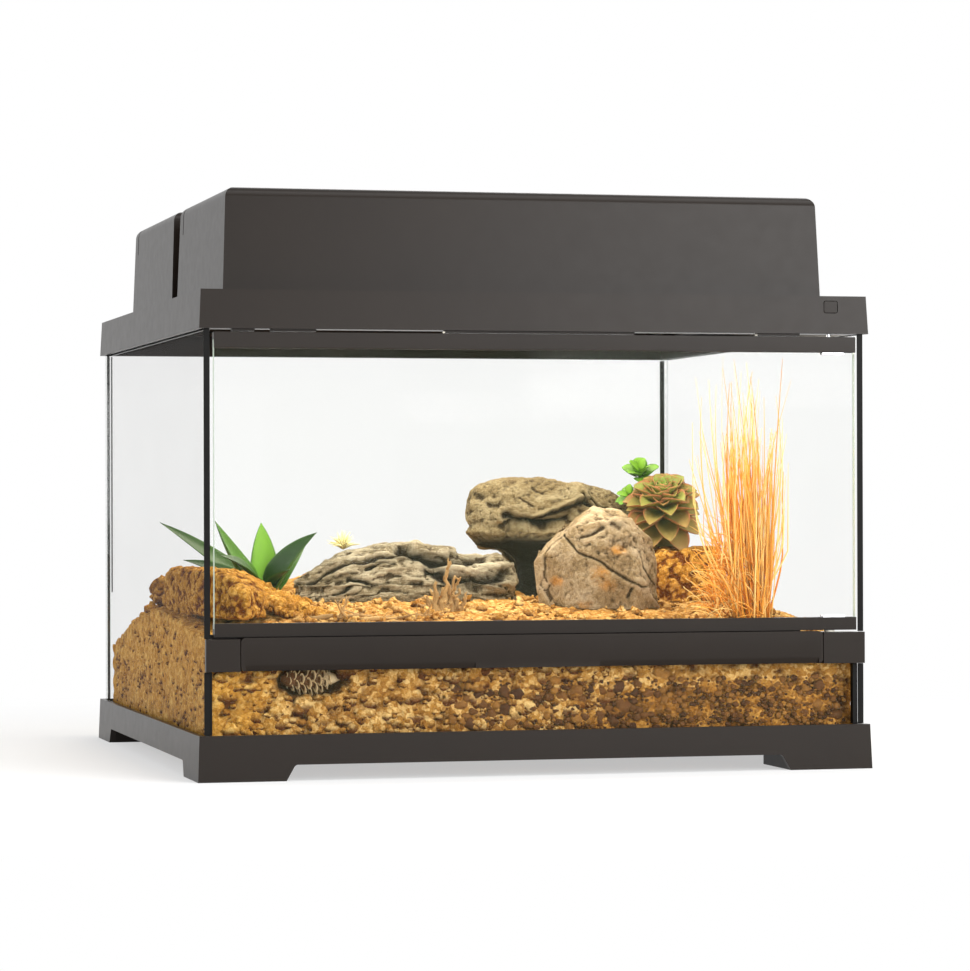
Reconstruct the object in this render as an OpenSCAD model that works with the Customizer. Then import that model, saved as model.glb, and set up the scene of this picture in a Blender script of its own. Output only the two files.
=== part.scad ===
// Low glass terrarium with a side-hung front door, a lift-out screen lid and two light hoods.
// Millimetres. X runs to the right, Y to the back and Z up. The origin is on the ground,
// under the centre of the glass box.

/* [Glass box] */
// Outer width of the glass box
glass_w = 451; // [440:1:520]
// Outer depth of the glass box
glass_d = 451; // [446:1:520]
// Height of the side and rear panes
glass_h = 302; // [290:1:400]
// Thickness of every pane
glass_t = 4; // [3:0.5:5]
// Glue line and seat gap round the panes
seat_gap = 0.3; // [0.2:0.05:0.4]
// How far the sill pane stands behind the front edges of the side panes
sill_back = 5; // [4.5:0.5:8]

/* [Base frame] */
// Height of the base frame
base_h = 30; // [26:0.5:40]
// Wall of the base frame at its upper edge
base_wall = 3.4; // [2.6:0.1:4.4]
// How far the foot of the wall stands out past its upper edge
base_draft = 1.1; // [0.4:0.1:2]
// Height of the feet below the skirt
foot_h = 10.5; // [8:0.5:13]
// Length of a foot along each side, on the ground
foot_l = 58; // [45:1:80]
// How much longer a foot gets up to the skirt
foot_slope = 6; // [3:0.5:9]
// Fillet between a foot and the skirt
foot_r = 3; // [1.5:0.5:5]
// Thickness of the return walls inside a foot
foot_wall = 3; // [2:0.5:4]
// Width of the ledge that carries the panes
ledge_w = 16; // [12:1:24]
// Thickness of the ledge
ledge_t = 3; // [2:0.5:4]

/* [Top frame] */
// Height of the skirt of the top frame
top_h = 25.5; // [23:0.5:34]
// Wall of the top frame at its upper edge
top_wall = 1.7; // [1.4:0.1:2.6]
// How far the lower edge stands out past the upper edge
top_draft = 1.25; // [0.5:0.05:2]
// Thickness of the flange over the glass
flange_t = 2.9; // [2:0.1:4]
// Wall behind the glass
inner_wall = 2.2; // [1.6:0.1:3]
// Depth of the hollow head over the door
head_depth = 11.6; // [11:0.2:16]
// Thickness of the floor of the head
head_floor = 2.5; // [2:0.1:3]
// Height of the lip under the head
head_lip = 1.6; // [1:0.1:1.7]
// Length of each of the two gaps in the lip
vent_l = 86; // [60:1:100]
// Distance between the two gaps in the lip
vent_apart = 130; // [110:1:150]
// Width of the rebate that carries the lid
rebate_w = 14; // [10:1:20]
// Thickness of the rebate
rebate_t = 2.2; // [1.6:0.1:3]

/* [Screen lid] */
// Depth that the lid lies in the top frame
lid_depth = 7.7; // [7:0.1:10]
// Gap round the lid
lid_gap = 0.4; // [0.3:0.05:0.8]
// How far the frame stands inside the walls of a hood
lid_land = 3; // [2:0.5:6]
// Depth that the mesh reaches into the frame
mesh_grip = 4.5; // [3:0.5:6]
// Wire of the mesh
wire_d = 0.9; // [0.6:0.1:1.1]
// Distance from wire to wire
wire_pitch = 12; // [10:0.5:20]

/* [Front rail] */
// Height of the window under the rail
window_h = 41.3; // [34:0.1:60]
// Height of the rail
rail_h = 21.1; // [20:0.1:26]
// How far the rail stands in front of the side panes
rail_proud = 5.2; // [4.8:0.1:7]
// How far the rail ends short of the outer faces of the side panes
rail_inset = 0.5; // [0.2:0.1:1]
// Width of the left end block
left_block = 22.4; // [14:0.1:30]
// Width of the right end block
right_block = 29.3; // [26:0.1:40]
// Wall of the rail
rail_wall = 2.2; // [1.8:0.1:2.6]
// Depth of the rail behind the sill pane
rail_lip_h = 12; // [6:0.5:15]
// Height of the stop behind the foot of the door
stop_h = 2.6; // [1.8:0.1:4]
// Gap between the closed door and its stop
stop_gap = 0.5; // [0.4:0.1:1]

/* [Latch bar] */
// Gap at each end of the bar
bar_gap = 0.5; // [0.3:0.1:0.8]
// How far the bar stands above the rail
bar_rise = 0.8; // [0.4:0.1:0.8]
// Wall of the bar
bar_wall = 2.4; // [1.8:0.1:2.6]
// Depth of the bar
bar_depth = 4.8; // [4.2:0.1:5]
// Radius of the corners of the bar
bar_corner_r = 3; // [1.5:0.5:5]
// Width of the solid middle between the two finger grips
bar_middle = 79; // [60:1:110]
// Height of the finger grips
grip_h = 4.3; // [3:0.1:5]
// Radius of the pivots of the bar
pivot_r = 1.5; // [1.2:0.1:1.8]
// Length of the pivots
pivot_l = 3.2; // [2:0.1:4]
// Radial clearance of pins that turn
pin_fit = 0.06; // [0.03:0.01:0.09]

/* [Door] */
// Gap between the door and the left pane
latch_side_gap = 2.8; // [2:0.1:4]
// Gap between the door and the right pane
hinge_side_gap = 1.2; // [1:0.1:2]
// Gap between the rail and the door
door_foot_gap = 1.3; // [1.1:0.1:2]
// Gap between the door and the head
door_head_gap = 2; // [1.8:0.1:3]
// How far the door stands in front of the side panes
door_proud = 1.4; // [1:0.1:2]
// Height of the lower trim
lower_trim_h = 8.6; // [8:0.1:14]
// Height of the upper trim
upper_trim_h = 10.5; // [8:0.1:16]
// Wall of the trims
trim_wall = 1.8; // [1.6:0.1:2.4]
// Solid part of the trims past the edge of the pane
trim_web = 4.5; // [4.2:0.1:6]
// Gap between a trim and the pane
trim_fit = 0.2; // [0.1:0.05:0.3]
// Distance of the hinge line from the right edge of the door
hinge_inset = 18; // [12:0.5:20]
// Radius of the hinge pins
hinge_r = 1.5; // [1.2:0.1:1.8]
// Depth of the hinge pins in the trims
hinge_depth = 3.2; // [2.4:0.1:3.4]
// Width of the metal hinge clips
clip_w = 15.6; // [12:0.1:20]
// Sheet of the hinge clips
clip_t = 0.8; // [0.6:0.1:0.9]
// How far a clip shows past its trim
clip_show = 1.4; // [1:0.1:3]
// Distance of the clip's middle from the hinge line
clip_shift = 2.5; // [0:0.5:4]
// Thickness of the washer under the door
washer_t = 1; // [0.6:0.1:1]
// Radius of the catch magnets
magnet_r = 2.5; // [2:0.1:3]
// Distance of the catch from the left edge of the door
catch_inset = 19.5; // [12:0.5:30]

/* [Hinge release] */
// Width of the release button
button_w = 9.4; // [8:0.1:12]
// Height of the release button
button_h = 7.8; // [7:0.1:8.4]
// Gap round the button
button_gap = 0.35; // [0.25:0.05:0.5]
// Corner radius of the button
button_r = 1.2; // [0.6:0.1:1.6]
// Distance of the button's middle below the top
button_down = 7.4; // [7:0.1:8]
// Travel of the button
button_travel = 1.8; // [1:0.1:2]
// Height of the lug on the upper hinge pin
collar_h = 1.2; // [0.8:0.1:1.6]

/* [Light hoods] */
// Distance from the end of a hood to the edge of the lid
hood_side = 11.6; // [8.6:0.1:23.6]
// Height of a hood
hood_h = 69.5; // [64:0.5:90]
// How far each end leans in
hood_lean_w = 2.5; // [1:0.1:5]
// How far the front and back lean in
hood_lean_d = 3.6; // [1:0.1:6]
// Radius of the upper edges
hood_r = 7; // [4:0.5:12]
// Wall of a hood
hood_wall = 2.5; // [2:0.1:3]
// Gap between the two hoods
hood_apart = 22.4; // [12:0.1:24]
// Distance of the front hood from the front of the top frame
hood_inset = 34.4; // [32:0.1:38]
// Distance of the rear hood from the back of the top frame
hood_rear = 22.2; // [20:0.1:30]
// Width of the slots in the ends of a hood
end_slot_w = 2.2; // [1.6:0.1:4]
// Depth of the slots in the ends, from the roof
end_slot_h = 20; // [12:0.5:30]
// Distance of the end slots from the back of a hood
end_slot_back = 17; // [12:0.5:30]
// Width of one vent slot in the back
vent_slot_w = 3; // [2:0.5:4]
// Height of the vent slots
vent_slot_h = 24; // [16:1:34]
// Distance from vent to vent
vent_slot_pitch = 9; // [7:0.5:14]
// Number of vent slots each side of the middle
vent_slots = 12; // [6:1:14]
// Sheet of the reflector
reflector_t = 0.8; // [0.6:0.1:1.2]
// Height of the ribs that hold the reflector under the roof
rib_h = 10.5; // [6:0.5:14]
// Radius of a lamp holder
holder_r = 19; // [16:0.5:20]
// Length of a lamp holder
holder_l = 40; // [32:1:50]
// Length of a lamp past its holder
lamp_l = 118; // [90:1:130]
// Radius of a lamp
lamp_r = 17; // [12:0.5:18]
// Height of the lamps over the foot of the hood
lamp_z = 27; // [24:0.5:30]
// Radius of the hole for the lead
lead_r = 3; // [2:0.1:4]

/* [Landscape] */
// Height of the gravel layer over the floor pane
gravel_h = 34; // [20:1:40]
// Height of the sand at the front, below the top of the rail
sand_drop = 2.4; // [2:0.1:8]
// How far the sand rises to the middle
sand_rise = 19; // [8:1:24]
// How far the sand falls to the rear left corner
sand_dip = 14; // [0:1:20]
// Height of the bank behind the driftwood
bank_h = 36; // [10:1:44]
// Depth that the stones sit in the sand
stone_sink = 4; // [2:0.5:6]
// Gap between the sand and what sits in it
bed_gap = 0.3; // [0.2:0.05:0.6]

/* [Hidden] */
eps = 0.01;
reach = 2 * (glass_w + glass_d);
plastic = [0.23, 0.21, 0.19];
clear_glass = [0.85, 0.95, 0.92, 0.35];
steel = [0.75, 0.76, 0.78];
sand_tone = [0.80, 0.62, 0.30];
rock_tone = [0.62, 0.56, 0.46];
leaf_tone = [0.30, 0.50, 0.16];

half_w = glass_w / 2;
half_d = glass_d / 2;
in_x = half_w - glass_t;
in_y = half_d - glass_t;
pane_z = foot_h + ledge_t + seat_gap;
frame_w = glass_w + 2 * seat_gap;
frame_d = glass_d + 2 * seat_gap;
base_w = frame_w + 2 * base_wall;
base_d = frame_d + 2 * base_wall;
top_z = pane_z + glass_h + seat_gap + flange_t;
skirt_z = top_z - top_h;
top_w = frame_w + 2 * top_wall;
top_d = frame_d + 2 * top_wall;
sill_y = -half_d + sill_back;
rail_z = base_h + window_h;
rail_top = rail_z + rail_h;
rail_front = -half_d - rail_proud;
rail_x = half_w - rail_inset;
rail_back = sill_y + glass_t + seat_gap + rail_wall;
sill_top = rail_top - rail_wall - seat_gap;

door_left = -in_x + latch_side_gap;
door_right = in_x - hinge_side_gap;
door_w = door_right - door_left;
door_mid = (door_left + door_right) / 2;
door_z = rail_top + door_foot_gap;
door_top = skirt_z - door_head_gap;
trim_t = glass_t + 2 * (trim_fit + trim_wall);
door_front = -half_d - door_proud;
hinge_x = door_right - hinge_inset;
hinge_y = door_front + trim_t / 2;
trim_swing = norm([hinge_inset, trim_t / 2]);
pane_foot = door_z + trim_web + trim_fit;
pane_head = door_top - trim_web - trim_fit;
clip_x = hinge_x + clip_shift;
clip_half = glass_t / 2 + trim_fit / 2 + clip_t;
catch_x = door_left + catch_inset;

well_x = in_x - seat_gap - inner_wall;
well_back = in_y - seat_gap - inner_wall;
well_front = -half_d - seat_gap + head_depth + inner_wall;
rebate_z = top_z - lid_depth;
lid_z = rebate_z + seat_gap;
lid_h = top_z - lid_z;
hood_z = top_z + seat_gap;
hood_w = 2 * (well_x - lid_gap - hood_side);
hood_d = (top_d - hood_inset - hood_apart - hood_rear) / 2;
reflector_h = hood_h - hood_wall - rib_h - seat_gap;
reflector_crown = hood_d / 2 - hood_wall - 28;
holder_x = -hood_w / 2 + hood_wall + hood_lean_w * (lamp_z + holder_r) / (hood_h - hood_wall) + seat_gap;
lead_y = hood_d / 4;
lead_z = 14;
hood_y = [-top_d / 2 + hood_inset + hood_d / 2, -top_d / 2 + hood_inset + 1.5 * hood_d + hood_apart];
open_x = hood_w / 2 - hood_wall - lid_land;
open_y = hood_d / 2 - hood_wall - lid_land;
mesh_z = lid_z + lid_h / 3;
mesh_h = 2.3 * wire_d;

bar_left = -rail_x + left_block + bar_gap;
bar_right = rail_x - right_block - bar_gap;
bar_mid = (bar_left + bar_right) / 2;
bar_l = bar_right - bar_left;
bar_z = rail_z + 0.3;
bar_top = rail_top + bar_rise;
pivot_y = rail_front + 3.7;
pivot_z = (bar_z + bar_top) / 2;
pivot_fit = 0.08;
button_z = top_z - button_down;
button_front = -(top_d / 2 + top_draft * button_down / top_h);
pin_lift = hinge_depth;
wedge_z = skirt_z + head_floor + 1.6;
wedge_back = 1.6;

floor_top = pane_z + glass_t;
bed_z = floor_top + bed_gap + gravel_h;
bed_x = in_x - bed_gap;
bed_front = sill_y + glass_t + bed_gap;
bed_back = in_y - bed_gap;
bed_d = bed_back - bed_front;
sand_z = rail_top - sand_drop;
// The landscape has a frame of its own, with z from the sand at the front, that is fitted to the bed.
// Its scales are rounded, so that they are exactly 1 at the real size
land_x = 221.2;
land_front = -216.2;
land_back = 221.2;
land_d = land_back - land_front;
land_h = 203.5;
cone_r = 12;
wide = round(bed_x / land_x * 100000) / 100000;
deep = round(bed_d / land_d * 100000) / 100000;
tall = round((skirt_z - sand_z) / land_h * 100000) / 100000;
// Place and half sizes of each piece that sits in the sand: x, y, half width, half depth, twist
mound_at = [-187.5, -54, 29, 118, 1];
knoll_at = [169.5, 14, 31, 33, 3];
slab_at = [-38, 12, 84, 26, 5];
rock_at = [104, 84, 40, 26, 2];
boulder_at = [89, -62, 45, 36, 7];
grass_at = [171.5, -138, 17, 13, 4];
// Place and radius of the stems and twigs that stand in the sand
aloe_at = [-148, -41, 5];
sprout_at = [knoll_at[0] - 10, knoll_at[1] + 44, 3];
twig_at = [[-34, -86, 4.5], [-116, -138, 7]];

// Solid shapes

// A half width for the rounding of a leaning wall, so that the arc meets both lines
function arc_x(foot, lean, h, r) = foot - (r * sqrt(lean * lean + h * h) + lean * (h - r)) / h;

// Outline with leaning sides and round upper corners, standing on the X axis
module arched_profile(foot, lean, h, r) {
    slant = sqrt(lean * lean + h * h);
    cx = arc_x(foot, lean, h, r);
    side = [cx + r * h / slant, h - r + r * lean / slant];
    polygon([[-foot, 0], [foot, 0], side, [cx, h], [-cx, h], [-side[0], side[1]]]);
    for (s = [-1, 1]) translate([s * cx, h - r]) circle(r = r, $fn = 48);
}

module along_y(length) {
    rotate([90, 0, 0]) linear_extrude(length, center = true) children();
}

module along_x(length) {
    rotate([90, 0, 90]) linear_extrude(length, center = true) children();
}

// Box with leaning sides and round upper edges
module arched_box(w, d, h, lean_w, lean_d, r) {
    intersection() {
        along_y(reach) arched_profile(w / 2, lean_w, h, r);
        along_x(reach) arched_profile(d / 2, lean_d, h, r);
    }
}

// Box with leaning sides and sharp edges
module drafted_box(w, d, draft, h) {
    intersection() {
        along_y(reach) polygon([[-w / 2 - draft, 0], [w / 2 + draft, 0], [w / 2, h], [-w / 2, h]]);
        along_x(reach) polygon([[-d / 2 - draft, 0], [d / 2 + draft, 0], [d / 2, h], [-d / 2, h]]);
    }
}

// Box between two corners
module block(low, high) {
    translate(low) cube(high - low);
}

module round_rect(w, h, r) {
    square([w - 2 * r, h], center = true);
    square([w, h - 2 * r], center = true);
    for (x = [-1, 1], y = [-1, 1]) translate([x * (w / 2 - r), y * (h / 2 - r)]) circle(r = r, $fn = 32);
}

module pin(r, length) {
    cylinder(r = r, h = length, $fn = 48);
}

// Base

module base_frame() {
    corner_x = base_w / 2 + base_draft - foot_l;
    corner_y = base_d / 2 + base_draft - foot_l;
    color(plastic) difference() {
        union() {
            difference() {
                drafted_box(base_w, base_d, base_draft, base_h);
                block([-frame_w / 2, -frame_d / 2, foot_h + ledge_t], [frame_w / 2, frame_d / 2, base_h + 1]);
                block([-frame_w / 2, -frame_d / 2, -1], [frame_w / 2, frame_d / 2, foot_h]);
                cube([frame_w - 2 * ledge_w, frame_d - 2 * ledge_w, 3 * base_h], center = true);
            }
            for (a = [0, 1], b = [0, 1]) mirror([a, 0, 0]) mirror([0, b, 0])
                foot_inside(corner_x, corner_y);
        }
        along_y(reach) arched_profile(corner_x, foot_slope, foot_h, foot_r);
        along_x(reach) arched_profile(corner_y, foot_slope, foot_h, foot_r);
    }
}

// Return walls and top plate of one foot
module foot_inside(x, y) {
    end = [foot_l - base_wall, foot_l - base_wall];
    translate([x, y, 0]) cube([foot_wall, end[1], foot_h + ledge_t]);
    translate([x, y, 0]) cube([end[0], foot_wall, foot_h + ledge_t]);
    translate([x, y, foot_h]) cube([end[0], end[1], ledge_t]);
}

// Glass box

module floor_glass() {
    color(clear_glass) block([-in_x + seat_gap, sill_y + glass_t + seat_gap, pane_z],
        [in_x - seat_gap, in_y - seat_gap, floor_top]);
}

module side_pane(side) {
    x = side < 0 ? -half_w : in_x;
    block([x, -half_d, pane_z], [x + glass_t, in_y - seat_gap, pane_z + glass_h]);
}

module left_glass() {
    color(clear_glass) side_pane(-1);
}

module right_glass() {
    color(clear_glass) side_pane(1);
}

module rear_glass() {
    color(clear_glass) block([-half_w, in_y, pane_z], [half_w, half_d, pane_z + glass_h]);
}

module sill_glass() {
    color(clear_glass) block([-in_x + seat_gap, sill_y, pane_z], [in_x - seat_gap, sill_y + glass_t, sill_top]);
}

// Beads in the two rear corners and strips at the ends of the sill pane
module sealant() {
    bead = 3;
    strip = 3.4;
    bead_z = bed_z + 60;
    color([0.05, 0.05, 0.05]) {
        for (s = [0, 1]) mirror([s, 0, 0]) {
            translate([in_x - eps, in_y - eps, bead_z]) linear_extrude(skirt_z - bead_z - 1)
                polygon([[0, 0], [-bead, 0], [0, -bead]]);
            block([in_x - strip, -half_d, base_h], [in_x - eps, sill_y - eps, rail_z - seat_gap]);
        }
    }
}

// Strips on the front edges of the side panes
module edge_seals() {
    seal_t = 0.9;
    color([0.06, 0.06, 0.06]) for (s = [0, 1]) mirror([s, 0, 0]) {
        block([in_x, -half_d - seal_t, base_h + seat_gap], [half_w, -half_d - eps, rail_z - seat_gap]);
        block([in_x, -half_d - seal_t, rail_top + seat_gap], [half_w, -half_d - eps, skirt_z - eps]);
    }
}

// Front rail and its latch bar

module front_rail() {
    color(plastic) difference() {
        union() {
            block([-rail_x, rail_front, rail_z], [rail_x, -half_d - seat_gap, rail_top]);
            block([-in_x + seat_gap, -half_d - seat_gap - 1, rail_z], [in_x - seat_gap, rail_back, rail_top]);
            // Stop for the door, which ends before the part of the door that swings inwards
            block([-in_x + seat_gap, door_front + trim_t + stop_gap, rail_top - eps],
                [hinge_x - trim_swing - stop_gap, rail_back, rail_top + stop_h]);
        }
        // Bay for the bar
        block([bar_left - bar_gap, rail_front - 1, rail_z - 1],
            [bar_right + bar_gap, sill_y - seat_gap - rail_wall, rail_top + 1]);
        // Groove over the sill pane
        block([-rail_x - 1, sill_y - seat_gap, rail_z - 1],
            [rail_x + 1, sill_y + glass_t + seat_gap, rail_top - rail_wall]);
        // Foot of the back lip
        block([-rail_x - 1, sill_y + glass_t, rail_z - 1], [rail_x + 1, rail_back + 1, rail_top - rail_lip_h]);
        translate([bar_left - pivot_l - 1, pivot_y, pivot_z]) rotate([0, 90, 0])
            pin(pivot_r + pivot_fit, bar_l + 2 * pivot_l + 2);
        translate([hinge_x, hinge_y, rail_top - 14]) pin(hinge_r + pin_fit, 15);
    }
}

module latch_bar() {
    color(plastic) {
        difference() {
            intersection() {
                translate([bar_mid, 0, 0]) along_x(bar_l) bar_section();
                translate([bar_mid, 0, (bar_z + bar_top) / 2]) along_y(reach)
                    round_rect(bar_l, bar_top - bar_z, bar_corner_r);
            }
            for (s = [-1, 1]) translate([bar_mid + s * (bar_middle + bar_l) / 4, 0, 0])
                along_x((bar_l - bar_middle) / 2 - 2 * bar_corner_r) polygon([
                    [rail_front - 1, bar_z - 1],
                    [rail_front + bar_wall - 0.6, bar_z - 1],
                    [rail_front + bar_wall - 0.6, bar_z],
                    [rail_front, bar_z + grip_h],
                    [rail_front - 1, bar_z + grip_h]
                ]);
        }
        for (x = [bar_left, bar_right - bar_wall]) block(
            [x, rail_front + bar_wall - eps, pivot_z - 5], [x + bar_wall, rail_front + bar_depth, pivot_z + 5]);
        translate([bar_left - pivot_l, pivot_y, pivot_z]) rotate([0, 90, 0]) pin(pivot_r, pivot_l + bar_wall);
        translate([bar_right - bar_wall, pivot_y, pivot_z]) rotate([0, 90, 0]) pin(pivot_r, pivot_l + bar_wall);
    }
}

// Channel section of the bar: front plate with an upper and a lower return
module bar_section() {
    front = rail_front;
    polygon([
        [front, bar_z],
        [front + bar_depth - 0.6, bar_z],
        [front + bar_depth - 0.6, bar_z + bar_wall / 2],
        [front + bar_wall, bar_z + bar_wall / 2],
        [front + bar_wall, bar_top - bar_wall],
        [front + bar_depth, bar_top - bar_wall],
        [front + bar_depth, bar_top],
        [front, bar_top]
    ]);
}

module lower_hinge_pin() {
    color(steel) translate([hinge_x, hinge_y, rail_top - 13.7]) pin(hinge_r, 13.7 + door_foot_gap + hinge_depth - 0.3);
}

module hinge_washer() {
    color([0.9, 0.9, 0.88]) translate([hinge_x, hinge_y, rail_top + 0.1]) difference() {
        pin(hinge_r + 2, washer_t);
        translate([0, 0, -1]) pin(hinge_r + pin_fit, washer_t + 2);
    }
}

// Top frame

module top_frame() {
    color(plastic) difference() {
        union() {
            difference() {
                translate([0, 0, skirt_z]) drafted_box(top_w, top_d, top_draft, top_h);
                block([-frame_w / 2, -frame_d / 2, skirt_z - 1], [frame_w / 2, frame_d / 2, top_z - flange_t]);
            }
            // Wall behind the glass
            block([-well_x - inner_wall, well_front - inner_wall, skirt_z],
                [well_x + inner_wall, well_back + inner_wall, top_z]);
            // Floor of the head, over the door
            block([-in_x + seat_gap, -half_d - seat_gap - 0.5, skirt_z], [in_x - seat_gap, well_front, skirt_z + head_floor]);
            for (s = [-1, 1]) translate([s * (vent_apart / 2 + vent_l + 15), 0, 0]) head_lip_part(30);
            head_lip_part(vent_apart);
            // Pads for the catch magnets and the upper hinge pin
            translate([catch_x, 0, 0]) head_lip_part(6 * magnet_r);
            translate([hinge_x, hinge_y, skirt_z]) pin(hinge_r + 2.5, head_floor + 0.6);
        }
        // Well for the lid, with its rebate
        block([-well_x, well_front, rebate_z], [well_x, well_back, top_z + 1]);
        block([-well_x, well_front, skirt_z - 1], [well_x, well_back, rebate_z - rebate_t]);
        block([rebate_w - well_x, well_front + rebate_w, skirt_z - 1], [well_x - rebate_w, well_back - rebate_w, top_z]);
        // Hollow of the head
        block([-in_x + seat_gap, -half_d - seat_gap, skirt_z + head_floor + 0.6],
            [in_x - seat_gap, well_front - inner_wall, top_z - flange_t]);
        translate([hinge_x, hinge_y, skirt_z - 3]) pin(hinge_r + pin_fit, 10);
        for (s = [-1, 1]) translate([catch_x + s * 1.5 * magnet_r, hinge_y, skirt_z - head_lip - 1])
            pin(magnet_r + 0.1, head_lip + 1 + head_floor - 0.6);
        translate([hinge_x, -frame_d / 2, button_z]) along_y(8)
            round_rect(button_w + 2 * button_gap, button_h + 2 * button_gap, button_r + button_gap);
    }
}

// Lip under the head, over the door
module head_lip_part(length) {
    translate([0, hinge_y, skirt_z - head_lip / 2 + 0.1]) cube([length, 5.6, head_lip + 0.2], center = true);
}

module release_button() {
    color(plastic) translate([hinge_x, 0, button_z]) {
        block_l = -frame_d / 2 + 1.2 - button_front;
        translate([0, button_front + block_l / 2, 0]) along_y(block_l) round_rect(button_w, button_h, button_r);
        translate([0, -frame_d / 2 + 0.7, 0]) along_y(1) round_rect(button_w + 2, button_h + 0.3, button_r);
    }
    // Two wedges that lift the hinge pin
    front = -frame_d / 2 + 0.2;
    tip = hinge_y + wedge_back - 0.1;
    color(plastic) for (s = [-1, 1]) translate([hinge_x + 2.3 * s, 0, 0]) along_x(0.8) polygon([
        [front, wedge_z - 0.6],
        [tip, wedge_z - 0.6],
        [tip, wedge_z - 0.1],
        [tip - button_travel, wedge_z - 0.1 + pin_lift],
        [front + 1, wedge_z - 0.1 + pin_lift],
        [front + 1, button_z - 1],
        [front, button_z - 1]
    ]);
}

// Strip folded to and fro between the button and the wall behind it
module button_spring() {
    folds = 6;
    strip_t = 0.4;
    half = 2.6;
    front = -frame_d / 2 + 1.3;
    step = (head_depth - 1.4) / folds;
    side = strip_t / 2 * norm([2 * half, step]) / step;
    way = [for (k = [0:folds]) [half * (k % 2 == 0 ? 1 : -1), front + k * step]];
    color(steel) translate([hinge_x, 0, button_z - 2]) linear_extrude(4)
        polygon([for (p = way) p + [side, 0], for (k = [folds:-1:0]) way[k] - [side, 0]]);
}

// Pin with a lug behind it, which lies on the wedges of the button
module upper_hinge_pin() {
    foot = door_top - hinge_depth + 0.3;
    color(steel) translate([hinge_x, hinge_y, 0]) {
        translate([0, 0, foot]) pin(hinge_r, wedge_z + 4 - foot);
        block([-1.2, 0, wedge_z], [1.2, wedge_back + 1.8, wedge_z + collar_h]);
        block([-3.2, wedge_back, wedge_z], [3.2, wedge_back + 1.8, wedge_z + collar_h]);
    }
}

module catch_magnets() {
    color(steel) for (s = [-1, 1]) translate([catch_x + s * 1.5 * magnet_r, hinge_y, skirt_z - head_lip + 0.1])
        pin(magnet_r, head_lip + head_floor - 0.9);
}

// Lid

module screen_frame() {
    color(plastic) difference() {
        block([-well_x + lid_gap, well_front + lid_gap, lid_z], [well_x - lid_gap, well_back - lid_gap, top_z]);
        for (y = hood_y) {
            block([-open_x, y - open_y, lid_z - 1], [open_x, y + open_y, top_z + 1]);
            block([-open_x - mesh_grip - seat_gap, y - open_y - mesh_grip - seat_gap, mesh_z - 0.2],
                [open_x + mesh_grip + seat_gap, y + open_y + mesh_grip + seat_gap, mesh_z + mesh_h + 0.2]);
        }
    }
}

module screen_mesh() {
    wire_x = open_x + mesh_grip;
    wire_y = open_y + mesh_grip;
    rows = floor(open_y / wire_pitch);
    columns = floor(open_x / wire_pitch);
    color([0.12, 0.12, 0.12]) for (y = hood_y) {
        for (k = [-rows:rows]) translate([-wire_x, y + k * wire_pitch, mesh_z + wire_d / 2]) rotate([0, 90, 0])
            cylinder(d = wire_d, h = 2 * wire_x, $fn = 16);
        for (k = [-columns:columns]) translate([k * wire_pitch, y + wire_y, mesh_z + 1.55 * wire_d]) rotate([90, 0, 0])
            cylinder(d = wire_d, h = 2 * wire_y, $fn = 16);
    }
}

// Door

module door_glass() {
    color(clear_glass) block([door_left, hinge_y - glass_t / 2, pane_foot], [door_right, hinge_y + glass_t / 2, pane_head]);
}

// Channel on an edge of the door, open upwards from z = 0
module door_trim(h) {
    slot = glass_t / 2 + trim_fit;
    difference() {
        block([door_left, door_front, 0], [door_right, door_front + trim_t, h]);
        block([door_left - 1, hinge_y - slot, trim_web], [door_right + 1, hinge_y + slot, h + 1]);
        block([clip_x - clip_w / 2 - 0.3, hinge_y - clip_half - 0.2, trim_web - clip_t - 0.1],
            [clip_x + clip_w / 2 + 0.3, hinge_y + clip_half + 0.2, h + 1]);
        translate([hinge_x, hinge_y, -1]) pin(hinge_r + pin_fit, hinge_depth + 1);
    }
}

module door_bottom_trim() {
    color(plastic) translate([0, 0, door_z]) door_trim(lower_trim_h);
}

module door_top_trim() {
    color(plastic) difference() {
        translate([0, 0, door_top]) mirror([0, 0, 1]) door_trim(upper_trim_h);
        catch_pocket(0.1);
    }
}

// Room for the catch plate in the upper trim
module catch_pocket(gap) {
    plate = [7 * magnet_r, 5, 1];
    translate([catch_x, hinge_y, door_top - plate[2] / 2 + (gap > 0 ? 0.5 : 0)])
        cube([plate[0] + 2 * gap, plate[1] + 2 * gap, plate[2] + (gap > 0 ? 1 : 0)], center = true);
}

module catch_plate() {
    color(steel) catch_pocket(0);
}

// U-shaped clip on the edge of the pane, open upwards from z = 0
module hinge_clip(h) {
    difference() {
        block([clip_x - clip_w / 2, hinge_y - clip_half, 0], [clip_x + clip_w / 2, hinge_y + clip_half, h]);
        block([clip_x - clip_w, hinge_y - glass_t / 2 - trim_fit / 2, clip_t],
            [clip_x + clip_w, hinge_y + glass_t / 2 + trim_fit / 2, h + 1]);
    }
}

module hinge_clips() {
    color([0.5, 0.5, 0.5]) {
        translate([0, 0, pane_foot - clip_t - 0.1])
            hinge_clip(door_z + lower_trim_h + clip_show - pane_foot + clip_t + 0.1);
        translate([0, 0, pane_head + clip_t + 0.1]) mirror([0, 0, 1])
            hinge_clip(pane_head + clip_t + 0.1 - door_top + upper_trim_h + clip_show);
    }
}

// Light hoods

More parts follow.
